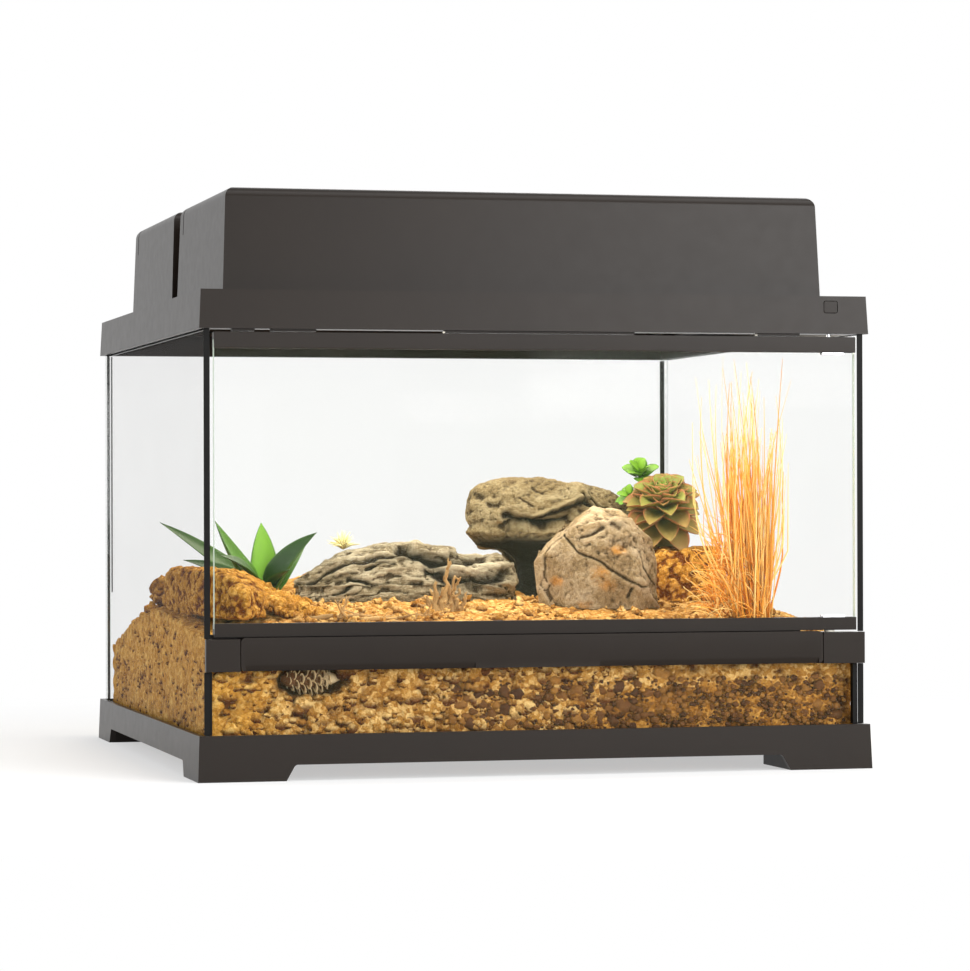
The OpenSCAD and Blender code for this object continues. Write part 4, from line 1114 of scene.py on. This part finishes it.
def build_sprout(material):
    low, high = box_mm("sprout")
    bm = bmesh.new()
    foot = Vector((low.x + 0.55 * (high.x - low.x), in_middle(low.y, high.y), low.z + 0.3))
    crown = Vector((foot.x - 6, foot.y - 2, high.z - 11))
    tube(bm, [foot, foot.lerp(crown, 0.5) + Vector((1, 0, 0)), crown], [2.2, 2.0, 1.8], 8, 0.1)
    whorl(bm, crown, Vector((-0.2, -0.5, 1.0)), 9, (9, 15), (9, 14), 3.4, round_shape, 0.2, 62, 4)
    whorl(bm, crown + Vector((-8, -2, -17)), Vector((-0.7, -0.4, 1.0)), 7, (7, 12), (8, 11), 3.0, round_shape, 0.2, 50, 4)
    outward(bm)
    return make("Sprout", bm, [material], "tank", ["sprout"])


def build_grass(material, count, seed):
    """Sheaf of straw: upright stems, a few that lean out, and loose fibres at the foot."""
    rng = random.Random(seed)
    low, high = box_mm("dry_grass")
    centre = Vector((in_middle(low.x, high.x), in_middle(low.y, high.y), 0))
    bm = bmesh.new()

    def clamp(p):
        return Vector((
            min(max(p.x, low.x - 1), high.x + 1),
            min(max(p.y, low.y - 1), high.y + 1),
            min(p.z, high.z + 3),
        ))

    def strand(foot, run, bend, thick, steps):
        points = [
            clamp(foot + run * (i / steps) + bend * math.sin(math.pi * 0.9 * i / steps)) for i in range(steps + 1)
        ]
        tube(bm, points, [thick * (1 - 0.75 * (i / steps) ** 1.5) for i in range(steps + 1)], 5, rng.random())

    sheaf = int(0.62 * count)
    for k in range(sheaf):
        turn = GOLDEN * k
        out = math.sqrt((k + 0.5) / sheaf)
        foot = Vector((centre.x + 14.5 * out * math.cos(turn) + 9, centre.y + 12 * out * math.sin(turn), 0))
        foot.z = ground(foot.x, foot.y) - 2
        reach = high.z - foot.z
        share = rng.random()
        tall = reach * (0.5 + 0.28 * share if share < 0.86 else 0.8 + 0.2 * rng.random())
        spread = (0.1 + 1.0 * rng.random() ** 4) * out
        run = Vector((math.cos(turn) * 22 * spread + rng.gauss(-1, 5), math.sin(turn) * 10 * spread, tall))
        strand(foot, run, Vector((rng.gauss(0, 4), rng.gauss(0, 3), 0)), rng.uniform(0.35, 0.85), 9)
    for k in range(count // 9):
        foot = Vector((centre.x + rng.uniform(-6, 18), centre.y + rng.uniform(-10, 10), 0))
        foot.z = ground(foot.x, foot.y) + 4
        side = -1 if rng.random() < 0.7 else 1
        run = Vector((side * rng.uniform(10, 42), rng.uniform(-8, 8), rng.uniform(70, high.z - foot.z)))
        strand(foot, run, Vector((side * rng.uniform(-4, 14), 0, 0)), rng.uniform(0.35, 0.7), 12)
    for k in range(count):
        foot = Vector((centre.x + rng.uniform(-20, 14), centre.y + rng.uniform(-14, 12), 0))
        foot.z = ground(foot.x, foot.y) + 44 * rng.random() ** 1.6
        run = Vector((rng.uniform(-34, 14), rng.uniform(-8, 8), rng.uniform(-6, 34)))
        strand(foot, run, Vector((0, 0, rng.uniform(2, 9))), 0.45, 6)
    outward(bm)
    return make("DryGrass", bm, [material], "tank", ["dry_grass"])


def in_middle(a, b):
    return (a + b) / 2


def build_air_plant(material, count, seed):
    rng = random.Random(seed)
    low, high = box_mm("air_plant")
    root = Vector((in_middle(low.x, high.x) - 9, in_middle(low.y, high.y), low.z - 4.5))
    bm = bmesh.new()
    for k in range(count):
        turn = GOLDEN * k
        rise = math.radians(rng.uniform(12, 85))
        reach = rng.uniform(8, 13.5)
        flat = Vector((math.cos(turn), math.sin(turn), 0)) * math.cos(rise)
        tip = root + (flat + Vector((0, 0, math.sin(rise)))) * reach
        mid = root.lerp(tip, 0.55) + Vector((0, 0, 1.2))
        tube(bm, [root, mid, tip], [0.8, 0.6, 0.15], 5, rng.uniform(0.4, 1.0))
    outward(bm)
    return make("AirPlant", bm, [material], "tank", ["air_plant"])


def build_twigs(material, seed):
    """Gnarled twigs standing and lying in the sand."""
    rng = random.Random(seed)
    bm = bmesh.new()

    def branch(start, run, thick, forks):
        points = []
        for i in range(9):
            wave = Vector((rng.uniform(-1, 1), rng.uniform(-1, 1), rng.uniform(-0.7, 0.7)))
            points.append(start + run * (i / 8) + wave * (0.5 * thick if 0 < i < 8 else 0))
        radii = [thick * (1.15 - 0.1 * i) * rng.uniform(0.75, 1.25) for i in range(9)]
        tube(bm, points, radii, 8, rng.uniform(0.2, 0.9))
        for _ in range(forks):
            at = points[rng.randrange(2, 7)]
            side = Vector((rng.uniform(-1, 1), rng.uniform(-0.6, 0.6), rng.uniform(0.1, 1.2)))
            branch(at, side.normalized() * run.length * 0.4, thick * 0.55, forks - 1)

    z = ground(-34, -86)
    for dx, dz, thick in ((1, 30, 2.8), (5, 24, 2.2), (-5, 20, 2.6), (7, 15, 2.6), (-10, 10, 2.4), (11, 9, 2.2), (-1, 16, 3.6)):
        branch(Vector((-34 + dx, -87, z - 4)), Vector((dx * 0.35 + 3, 2, dz + 4)), thick, 2)
    for x, y, run, thick in (
        (-138, -132, (34, -4, 2), 2.0),
        (-128, -126, (40, 6, 1), 1.6),
        (-104, -138, (36, 4, 1), 1.4),
        (-84, -150, (34, 6, 0), 1.1),
        (-60, -120, (22, 8, 0), 1.0),
    ):
        branch(Vector((x, y, ground(x, y) + thick)), Vector(run), thick, 2)
    outward(bm)
    return make("Twigs", bm, [material], "tank", ["twigs"])


def build_cone(material):
    """Pine cone lying along X behind the sill pane."""
    low, high = box_mm("pine_cone")
    start = Vector((low.x, in_middle(low.y, high.y), in_middle(low.z, high.z)))
    length = high.x - low.x
    radius = (high.z - low.z) / 2
    bm = bmesh.new()
    core = [start + Vector((length * u, 0, 0)) for u in (0.02, 0.15, 0.5, 0.85, 0.97)]
    tube(bm, core, [radius * r for r in (0.2, 0.5, 0.6, 0.3, 0.1)], 12, 0.1)
    count = 60
    for k in range(count):
        u = (k + 0.5) / count
        turn = GOLDEN * k
        size = math.sin(math.pi * (0.12 + 0.84 * u)) ** 0.8
        flat = Vector((0, math.cos(turn), math.sin(turn)))
        base = start + Vector((length * (0.06 + 0.8 * u), 0, 0)) + flat * radius * 0.35 * size
        tip = base + (flat * 0.64 * radius + Vector((length * 0.07, 0, 0))) * size
        leaf(bm, base, tip, Vector((1, 0, 0)), 8.4 * size, 1.6, spoon_shape, 0.6, -0.25, 0.3, 8, 8)
    outward(bm)
    return make("PineCone", bm, [material], "tank", ["pine_cone"])


# Tank


def pane(node, body, face, rim, width):
    """Glass pane with a polished rim."""
    bm = cad_mesh(node)
    bm.faces.ensure_lookup_table()
    widest = max(f.calc_area() for f in bm.faces)
    for f in bm.faces:
        f.material_index = 0 if f.calc_area() > widest * 0.5 else 1
    piece = link("Look_" + node, bm, [face, rim], body, [node], smooth=False)
    soft = piece.modifiers.new("Rounded", "BEVEL")
    soft.width = width
    soft.segments = 1
    soft.material = 1
    return piece


def thin_left_bead(mesh):
    """Draws the bead of the left rear corner close to the corner."""
    corner = min(v.co.x for v in mesh.vertices)
    for v in mesh.vertices:
        if v.co.x < 0:
            v.co.x = corner + 0.4 * (v.co.x - corner)


def build_glass(look):
    face = glass_material("PaneGlass", look.tint, look.weight)
    smoke = glass_material("LeftPaneGlass", look.left_tint, look.left_weight, 0.02)
    clear_rim = glass_material("ClearRim", look.clear_rim, 0.14)
    dark_rim = glass_material("DarkRim", look.dark_rim, 0.9)
    pale_rim = glass_material("PaleRim", look.pale_rim, 0.75)
    for node in ("floor_glass", "right_glass", "rear_glass"):
        pane(node, "tank", face, clear_rim, look.bevel)
    pane("left_glass", "tank", smoke, seam_material(look), look.bevel)
    pane("sill_glass", "tank", face, dark_rim, look.bevel)
    pane("door_glass", "door", face, pale_rim, look.bevel)


def build_mouldings(look):
    plastic = plastic_material(look.plastic)
    for node, body, radius in (
        ("base_frame", "tank", look.frame_radius),
        ("front_rail", "tank", look.trim_radius),
        ("top_frame", "tank", look.frame_radius),
        ("screen_frame", "screen_lid", look.trim_radius),
        ("door_top_trim", "door", look.trim_radius),
        ("door_bottom_trim", "door", look.trim_radius),
        ("latch_bar", "latch_bar", look.trim_radius),
        ("release_button", "release_button", 0.75 * look.trim_radius),
        ("front_hood_shell", "front_hood", look.hood_radius),
        ("rear_hood_shell", "rear_hood", look.hood_radius),
    ):
        moulded(node, body, plastic, radius)
    rubber = rubber_material(look.seal)
    for node, body in (
        ("sealant", "tank"),
        ("edge_seals", "tank"),
        ("front_hood_gland", "front_hood"),
        ("rear_hood_gland", "rear_hood"),
    ):
        seal = moulded(node, body, rubber, look.seal_radius)
        if node == "sealant":
            thin_left_bead(seal.data)


def build_fittings(look):
    steel = steel_material("BrushedSteel", look.steel)
    paint_cad(steel, "lower_hinge_pin", "upper_hinge_pin", "catch_magnets", "catch_plate", "hinge_clips")
    spring = link("Look_button_spring", cad_mesh("button_spring"), [steel], "tank", ["button_spring"], False)
    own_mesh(spring)
    paint_cad(paint_material("Nylon", look.washer, 0.45), "hinge_washer")
    paint_cad(steel_material("MeshWire", look.mesh), "screen_mesh")
    paint_cad(steel_material("ReflectorSheet", look.reflector), "front_hood_reflector", "rear_hood_reflector")
    paint_cad(paint_material("Porcelain", look.holder, 0.2), "front_hood_holders", "rear_hood_holders")
    paint_cad(lamp_material(look.lamp, look.glow, look.glow_strength), "front_hood_lamps", "rear_hood_lamps")


# Stage


def build_camera():
    """Camera fitted to the photograph."""
    turn = (
        Matrix.Rotation(CAMERA_ROLL, 3, "Y")
        @ Matrix.Rotation(CAMERA_PITCH, 3, "X")
        @ Matrix.Rotation(CAMERA_YAW, 3, "Z")
    )
    right, ahead, up = turn.row
    data = bpy.data.cameras.new("Camera")
    data.lens = CAMERA_LENS
    data.sensor_width = 36
    data.sensor_fit = "HORIZONTAL"
    data.clip_start, data.clip_end = 0.1, 50
    camera = bpy.data.objects.new("Camera", data)
    world = Matrix((right, up, -ahead)).transposed().to_4x4()
    world.translation = Vector(CAMERA_AT) * MM
    camera.matrix_world = world
    bpy.context.scene.collection.objects.link(camera)
    bpy.context.scene.camera = camera


def area_light(name, at, aim, size, energy, colour=(1, 1, 1)):
    data = bpy.data.lights.new(name, "AREA")
    data.shape = "RECTANGLE"
    data.size, data.size_y = size
    data.energy = energy
    data.color = colour
    light = bpy.data.objects.new(name, data)
    light.location = Vector(at)
    light.rotation_mode = "QUATERNION"
    light.rotation_quaternion = (Vector(aim) - Vector(at)).to_track_quat("-Z", "Y")
    light.visible_camera = False
    bpy.context.scene.collection.objects.link(light)
    return light


def build_world(ambient):
    world = bpy.data.worlds.new("Studio")
    world.use_nodes = True
    tree = world.node_tree
    tree.nodes.clear()
    path = tree.nodes.new("ShaderNodeLightPath")
    shown = tree.nodes.new("ShaderNodeBackground")
    views = tree.nodes.new("ShaderNodeMath")
    views.operation = "MAXIMUM"
    mirrors = tree.nodes.new("ShaderNodeMath")
    mirrors.operation = "MAXIMUM"
    tree.links.new(path.outputs["Is Glossy Ray"], mirrors.inputs[0])
    tree.links.new(path.outputs["Is Transmission Ray"], mirrors.inputs[1])
    tree.links.new(path.outputs["Is Camera Ray"], views.inputs[0])
    tree.links.new(mirrors.outputs[0], views.inputs[1])
    shown.inputs[0].default_value = (1, 1, 1, 1)
    lit = tree.nodes.new("ShaderNodeBackground")
    lit.inputs[0].default_value = (ambient, ambient, ambient, 1)
    both = tree.nodes.new("ShaderNodeMixShader")
    out = tree.nodes.new("ShaderNodeOutputWorld")
    tree.links.new(views.outputs[0], both.inputs[0])
    tree.links.new(lit.outputs[0], both.inputs[1])
    tree.links.new(shown.outputs[0], both.inputs[2])
    tree.links.new(both.outputs[0], out.inputs[0])
    bpy.context.scene.world = world
    bpy.context.scene.view_settings.view_transform = "Standard"


def build_floor(colour):
    bm = bmesh.new()
    bmesh.ops.create_grid(bm, x_segments=2, y_segments=2, size=6.0)
    mesh = bpy.data.meshes.new("Floor")
    bm.to_mesh(mesh)
    bm.free()
    g = Graph("PaleFloor", Base_Color=tuple(colour), Roughness=0.9, Specular_IOR_Level=0.1)
    x, y = g.axis("X"), g.axis("Y")
    far = 0.5 + 0.5 * (x * x + y * y).step(380.0**2, 800.0**2)
    seen = g.path("Is Camera Ray").high(g.path("Is Glossy Ray")).high(g.path("Is Transmission Ray"))
    white = g.node("ShaderNodeEmission", (1.0, 1.0, 1.0, 1.0), 1.0)
    both = g.node("ShaderNodeMixShader", far * seen, Sock(g, g.shader.outputs[0]), white)
    g.tree.links.new(both.value, g.tree.nodes["Material Output"].inputs["Surface"])
    mesh.materials.append(g.material)
    floor = bpy.data.objects.new("Floor", mesh)
    bpy.context.scene.collection.objects.link(floor)


def build_stage(look):
    build_world(look.ambient)
    build_floor(look.floor)
    build_camera()
    key = look.key
    area_light("Key", (0.7, -1.0, 2.4), (0, 0, 0.1), (2.2, 1.6), 40 * key)
    area_light("Left", (-2.2, 0.4, 0.8), (0, 0, 0.2), (1.6, 1.6), 20 * key)
    area_light("Right", (1.4, -2.6, 0.9), (0.1, -0.2, 0.25), (1.6, 1.2), 66 * key)
    area_light("Low", (-0.4, -2.2, 0.3), (0, -0.22, 0.06), (1.6, 0.4), 8 * key)
    area_light("Back", (1.1, 2.8, 1.0), (0, 0, 0.3), (1.6, 2.0), 18 * key)
    area_light("HoodFront", (0, -0.09, 0.300), (0.0, -0.10, 0.1), (0.36, 0.12), 1.1 * key, look.warm)
    area_light("HoodRear", (0, 0.11, 0.300), (0.0, 0.1, 0.1), (0.36, 0.12), 0.9 * key, look.warm)


# Add-on


def colour(name, description, red, green, blue):
    """Colour property with an sRGB default."""
    return FloatVectorProperty(
        name=name, description=description, subtype="COLOR", size=3, min=0.0, max=1.0, default=rgb(red, green, blue)
    )


def length(name, description, default, low, high):
    """Length property with limits in millimetres."""
    return FloatProperty(
        name=name, description=description, subtype="DISTANCE", unit="LENGTH", precision=5,
        default=default * MM, min=low * MM, max=high * MM,
    )


def share(name, description, default, high=1.0):
    """Share property from 0 up."""
    return FloatProperty(name=name, description=description, subtype="FACTOR", default=default, min=0.0, max=high)


def amount(name, description, default, low, high):
    """Count property."""
    return IntProperty(name=name, description=description, default=default, min=low, max=high)


class MouldingSettings(bpy.types.PropertyGroup):
    """Plastic mouldings and black seals."""

    plastic: colour("Plastic", "Colour of the frames, trims, bar, button and hoods", 27, 20, 14)
    seal: colour("Seal", "Colour of the corner seals, edge strips and glands", 12, 11, 10)
    frame_radius: length("Frame radius", "Rounding on the corners of the base and top frame", 0.7, 0.1, 2.0)
    trim_radius: length("Trim radius", "Rounding on the rail, bar, lid and door trims", 0.4, 0.1, 1.5)
    hood_radius: length("Hood radius", "Rounding on the corners of the light hoods", 0.9, 0.1, 2.5)
    seal_radius: length("Seal radius", "Rounding on the seals and glands", 0.25, 0.05, 0.8)


class GlassSettings(bpy.types.PropertyGroup):
    """Panes and their rims."""

    tint: colour("Tint", "Colour that the faces of the panes add", 120, 134, 110)
    weight: share("Tint strength", "How strongly the panes show their tint", 0.028)
    left_tint: colour("Left tint", "Colour that the left pane adds", 30, 29, 26)
    left_weight: share("Left strength", "How strongly the left pane shows its tint", 0.09)
    clear_rim: colour("Clear rim", "Rims of the side, rear and floor panes", 96, 112, 104)
    dark_rim: colour("Dark rim", "Rim of the sill pane", 30, 38, 34)
    pale_rim: colour("Pale rim", "Rim of the door pane", 190, 208, 186)
    bevel: length("Bevel", "Polished bevel round every pane", 0.35, 0.05, 1.0)


class FittingSettings(bpy.types.PropertyGroup):
    """Metal fittings, mesh and lamps."""

    steel: colour("Steel", "Pins, clips, spring, magnets and catch plate", 205, 205, 208)
    mesh: colour("Mesh", "Wire of the screen", 63, 63, 63)
    reflector: colour("Reflector", "Sheet over the lamps", 232, 233, 236)
    washer: colour("Washer", "Hinge washer", 226, 222, 210)
    holder: colour("Holder", "Lamp holders", 238, 232, 216)
    lamp: colour("Lamp", "Glass of the lamps", 246, 243, 234)
    glow: colour("Glow", "Light the lamps give off", 255, 226, 178)
    glow_strength: FloatProperty(name="Glow strength", description="Strength of the lamps' glow", default=1.5, min=0.0, max=20.0)
    button_travel: length("Button travel", "How far the button presses its spring together", 1.9, 0.5, 3.0)


class GroundSettings(bpy.types.PropertyGroup):
    """Sand, grit, pebbles and earth."""

    sand_dark: colour("Sand dark", "Darkest grains of the sand", 122, 68, 14)
    sand_middle: colour("Sand middle", "Most grains of the sand", 186, 132, 56)
    sand_light: colour("Sand light", "Palest grains of the sand", 240, 200, 128)
    side_dark: colour("Side dark", "Darkest grains by the left pane", 158, 98, 18)
    side_middle: colour("Side middle", "Most grains by the left pane", 218, 158, 62)
    side_light: colour("Side light", "Palest grains by the left pane", 244, 198, 108)
    grit_dark: colour("Grit dark", "Darkest grains of the grit", 66, 34, 6)
    grit_middle: colour("Grit middle", "Most grains of the grit", 150, 96, 30)
    grit_light: colour("Grit light", "Palest grains of the grit", 214, 158, 74)
    # Painted shade tint, multiplied into the hollows of the sand and under its crumbs and lumps
    sand_hollow_shade: colour("Sand hollow", "Tint in the hollows of the sand", 100, 48, 8)
    earth_dark: colour("Earth dark", "Darkest grains of the mounds", 118, 74, 16)
    earth_middle: colour("Earth middle", "Most grains of the mounds", 190, 132, 44)
    earth_light: colour("Earth light", "Palest grains of the mounds", 230, 180, 92)
    # Painted shade tint, multiplied into the hollows of the mounds and under the earth crumbs
    earth_hollow_shade: colour("Earth hollow", "Tint in the hollows of the mounds", 132, 84, 28)
    pebble_dark: colour("Pebble dark", "Darkest pebbles", 64, 32, 6)
    pebble_middle: colour("Pebble middle", "Most pebbles", 104, 62, 18)
    pebble_light: colour("Pebble light", "Palest pebbles", 170, 118, 48)
    crumbs: amount("Sand crumbs", "Crumbs lying on the sand", 1500, 0, 4000)
    lumps: amount("Sand lumps", "Clumps pressed against the panes", 1100, 0, 2000)
    earth_crumbs: amount("Earth crumbs", "Crumbs on the flank of the left mound", 360, 0, 1500)
    pebbles: amount("Pebbles", "Tries to place a pebble", 900, 0, 3000)
    seed: amount("Seed", "Start of the random placing", 7, 0, 999)


class RockSettings(bpy.types.PropertyGroup):
    """Stones and driftwood."""

    upper_dark: colour("Upper dark", "Darkest parts of the upper stone", 80, 62, 40)
    upper_middle: colour("Upper middle", "Most of the upper stone", 132, 114, 78)
    upper_light: colour("Upper light", "Palest parts of the upper stone", 188, 174, 136)
    upper_stain: colour("Upper stain", "Stains on the upper stone", 176, 136, 74)
    boulder_dark: colour("Boulder dark", "Darkest parts of the boulder", 102, 78, 48)
    boulder_middle: colour("Boulder middle", "Most of the boulder", 158, 134, 96)
    boulder_light: colour("Boulder light", "Palest parts of the boulder", 206, 188, 156)
    boulder_stain: colour("Boulder stain", "Stains on the boulder", 206, 144, 62)
    wood_dark: colour("Driftwood dark", "Darkest grain of the driftwood", 58, 48, 34)
    wood_middle: colour("Driftwood middle", "Most of the driftwood", 132, 118, 90)
    wood_light: colour("Driftwood light", "Palest grain of the driftwood", 206, 196, 168)
    wood_stain: colour("Driftwood stain", "Moss on the driftwood", 132, 116, 62)
    # Painted shade tint, multiplied into the hollows of the stones
    hollow_shade: colour("Hollow", "Tint in the hollows of the stones", 98, 76, 50)
    # Painted black shade deep in the gaps and cracks, under the ledges and at the foot of the stones
    gap: colour("Gap", "Colour deep in the gaps", 24, 17, 10)
    fineness: length("Fineness", "Spacing of the points on the stones", 1.0, 0.8, 3.0)


class PlantSettings(bpy.types.PropertyGroup):
    """Plants, twigs and pine cone."""

    aloe_base: colour("Aloe base", "Foot of the aloe leaves", 22, 62, 6)
    aloe_tip: colour("Aloe tip", "Tips of the aloe leaves", 26, 60, 14)
    aloe_edge: colour("Aloe edge", "Edges of the aloe leaves", 62, 104, 22)
    aloe_bright: colour("Aloe bright", "Sunlit aloe leaves", 104, 160, 20)
    rosette_base: colour("Rosette base", "Foot of the rosette leaves", 138, 132, 70)
    rosette_tip: colour("Rosette tip", "Tips of the rosette leaves", 176, 136, 84)
    rosette_edge: colour("Rosette edge", "Edges of the rosette leaves", 196, 106, 78)
    rosette_bright: colour("Rosette bright", "Middle of the rosette", 132, 164, 70)
    sprout_base: colour("Sprout base", "Foot of the sprout leaves", 60, 110, 14)
    sprout_tip: colour("Sprout tip", "Tips of the sprout leaves", 112, 166, 36)
    sprout_edge: colour("Sprout edge", "Edges of the sprout leaves", 66, 116, 20)
    sprout_bright: colour("Sprout bright", "Youngest sprout leaves", 126, 176, 42)
    air_base: colour("Air plant base", "Foot of the air plant", 222, 214, 140)
    air_tip: colour("Air plant tip", "Tips of the air plant", 240, 232, 170)
    air_edge: colour("Air plant edge", "Edges of the air plant", 206, 190, 104)
    air_bright: colour("Air plant bright", "Palest needles of the air plant", 246, 240, 188)
    straw_dark: colour("Straw dark", "Darkest straw", 216, 126, 24)
    straw_middle: colour("Straw middle", "Most of the straw", 252, 180, 66)
    straw_light: colour("Straw light", "Palest straw", 255, 230, 150)
    twig_dark: colour("Twig dark", "Dark grain of the twigs", 92, 64, 36)
    twig_light: colour("Twig light", "Pale grain of the twigs", 206, 168, 110)
    cone_dark: colour("Cone dark", "Shade between the scales of the cone", 24, 14, 6)
    cone_middle: colour("Cone middle", "Scales of the cone", 128, 78, 34)
    cone_edge: colour("Cone edge", "Worn edges of the scales", 255, 228, 176)
    rosette_leaves: amount("Rosette leaves", "Leaves of the rosette", 36, 12, 90)
    stems: amount("Straw stems", "Upright stems of the dry grass", 280, 10, 400)
    needles: amount("Needles", "Needles of the air plant", 90, 10, 200)
    seed: amount("Seed", "Start of the random shapes", 10, 0, 999)


class StageSettings(bpy.types.PropertyGroup):
    """Floor and light of the stage."""

    floor: colour("Floor", "Colour of the floor", 247, 247, 247)
    warm: colour("Hood light", "Colour of the light under the hoods", 255, 247, 231)
    ambient: share("Ambient", "Light from all round", 0.4, 2.0)
    key: share("Lights", "Strength of all lamps of the stage", 1.0, 5.0)


class TERRARIUM_OT_mouldings(bpy.types.Operator):
    """Builds the plastic frames, trims, bar, button, hoods and seals"""

    bl_idname = "terrarium.mouldings"
    bl_label = "Mouldings"

    def execute(self, context):
        build_mouldings(context.scene.terrarium_mouldings)
        return {"FINISHED"}


class TERRARIUM_OT_glass(bpy.types.Operator):
    """Builds the panes"""

    bl_idname = "terrarium.glass"
    bl_label = "Glass"

    def execute(self, context):
        build_glass(context.scene.terrarium_glass)
        return {"FINISHED"}


class TERRARIUM_OT_fittings(bpy.types.Operator):
    """Finishes the metal fittings, mesh and lamps"""

    bl_idname = "terrarium.fittings"
    bl_label = "Fittings"

    def execute(self, context):
        build_fittings(context.scene.terrarium_fittings)
        return {"FINISHED"}


class TERRARIUM_OT_ground(bpy.types.Operator):
    """Builds the sand, gravel, pebbles and earth mounds"""

    bl_idname = "terrarium.ground"
    bl_label = "Ground"

    def execute(self, context):
        look = context.scene.terrarium_ground
        sand = sand_material(
            family(look, "sand", "dark", "middle", "light"),
            family(look, "side", "dark", "middle", "light"),
            family(look, "grit", "dark", "middle", "light"),
            tuple(look.sand_hollow_shade),
        )
        build_bed(sand)
        build_clumps(sand, look.crumbs, look.seed)
        build_sand_lumps(sand, look.lumps, look.seed + 1)
        build_pebbles(pebble_material(family(look, "pebble", "dark", "middle", "light")), look.pebbles, look.seed + 2)
        earth = clay_material(family(look, "earth", "dark", "middle", "light"), tuple(look.earth_hollow_shade))
        build_mounds(earth)
        build_earth_crumbs(earth, look.earth_crumbs, look.seed + 6)
        return {"FINISHED"}


class TERRARIUM_OT_rocks(bpy.types.Operator):
    """Builds the stones and the driftwood"""

    bl_idname = "terrarium.rocks"
    bl_label = "Rocks"

    def execute(self, context):
        look = context.scene.terrarium_rocks
        shades = (tuple(look.hollow_shade), tuple(look.gap))
        kinds = ("dark", "middle", "light", "stain")
        build_rocks(
            rock_material("UpperStone", (*family(look, "upper", *kinds), *shades), 30, (0.1, 0.28, 0), (2.2, 1.6, 0.8)),
            rock_material("BoulderStone", (*family(look, "boulder", *kinds), *shades), 30, (0.3, -0.5, 0), (1.3, 1.3, 0.9)),
            rock_material("Driftwood", (*family(look, "wood", *kinds), *shades), 15, (0.0, 0.1, 0), (5.0, 1.4, 0.7)),
            look.fineness / MM,
        )
        return {"FINISHED"}


class TERRARIUM_OT_plants(bpy.types.Operator):
    """Builds the plants, twigs and pine cone"""

    bl_idname = "terrarium.plants"
    bl_label = "Plants"

    def execute(self, context):
        look = context.scene.terrarium_plants
        kinds = ("base", "tip", "edge", "bright")
        build_aloe(leaf_material("AloeLeaf", family(look, "aloe", *kinds), 0.34))
        build_rosette(leaf_material("RosetteLeaf", family(look, "rosette", *kinds)), look.rosette_leaves)
        build_sprout(leaf_material("SproutLeaf", family(look, "sprout", *kinds)))
        build_grass(straw_material(family(look, "straw", "dark", "middle", "light")), look.stems, look.seed)
        build_air_plant(leaf_material("AirPlantLeaf", family(look, "air", *kinds)), look.needles, look.seed + 1)
        build_twigs(wood_material(*family(look, "twig", "dark", "light")), look.seed + 2)
        build_cone(cone_material(*family(look, "cone", "dark", "middle", "edge")))
        return {"FINISHED"}


class TERRARIUM_OT_stage(bpy.types.Operator):
    """Sets the floor, lights and camera"""

    bl_idname = "terrarium.stage"
    bl_label = "Stage"

    def execute(self, context):
        build_stage(context.scene.terrarium_stage)
        return {"FINISHED"}


# Settings and operator of each group, under the name of its scene property
GROUPS = {
    "terrarium_mouldings": (MouldingSettings, TERRARIUM_OT_mouldings),
    "terrarium_glass": (GlassSettings, TERRARIUM_OT_glass),
    "terrarium_fittings": (FittingSettings, TERRARIUM_OT_fittings),
    "terrarium_ground": (GroundSettings, TERRARIUM_OT_ground),
    "terrarium_rocks": (RockSettings, TERRARIUM_OT_rocks),
    "terrarium_plants": (PlantSettings, TERRARIUM_OT_plants),
    "terrarium_stage": (StageSettings, TERRARIUM_OT_stage),
}


def family(look, stem, *kinds):
    """Colours of one family of a settings group."""
    return [tuple(getattr(look, stem + "_" + kind)) for kind in kinds]


class TERRARIUM_PT_panel(bpy.types.Panel):
    """Settings and buttons that build the terrarium"""

    bl_label = "Terrarium"
    bl_idname = "TERRARIUM_PT_panel"
    bl_space_type = "VIEW_3D"
    bl_region_type = "UI"
    bl_category = "Terrarium"

    def draw(self, context):
        for key, (settings, operator) in GROUPS.items():
            box = self.layout.box()
            for name in settings.__annotations__:
                box.prop(getattr(context.scene, key), name)
            box.operator(operator.bl_idname)


def register():
    for key, (settings, operator) in GROUPS.items():
        bpy.utils.register_class(settings)
        bpy.utils.register_class(operator)
        setattr(bpy.types.Scene, key, PointerProperty(type=settings))
    bpy.utils.register_class(TERRARIUM_PT_panel)


def unregister():
    bpy.utils.unregister_class(TERRARIUM_PT_panel)
    for key, (settings, operator) in GROUPS.items():
        delattr(bpy.types.Scene, key)
        bpy.utils.unregister_class(operator)
        bpy.utils.unregister_class(settings)


def main():
    register()
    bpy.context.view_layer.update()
    for _, operator in GROUPS.values():
        group, name = operator.bl_idname.split(".")
        getattr(getattr(bpy.ops, group), name)()


if __name__ == "__main__":
    main()
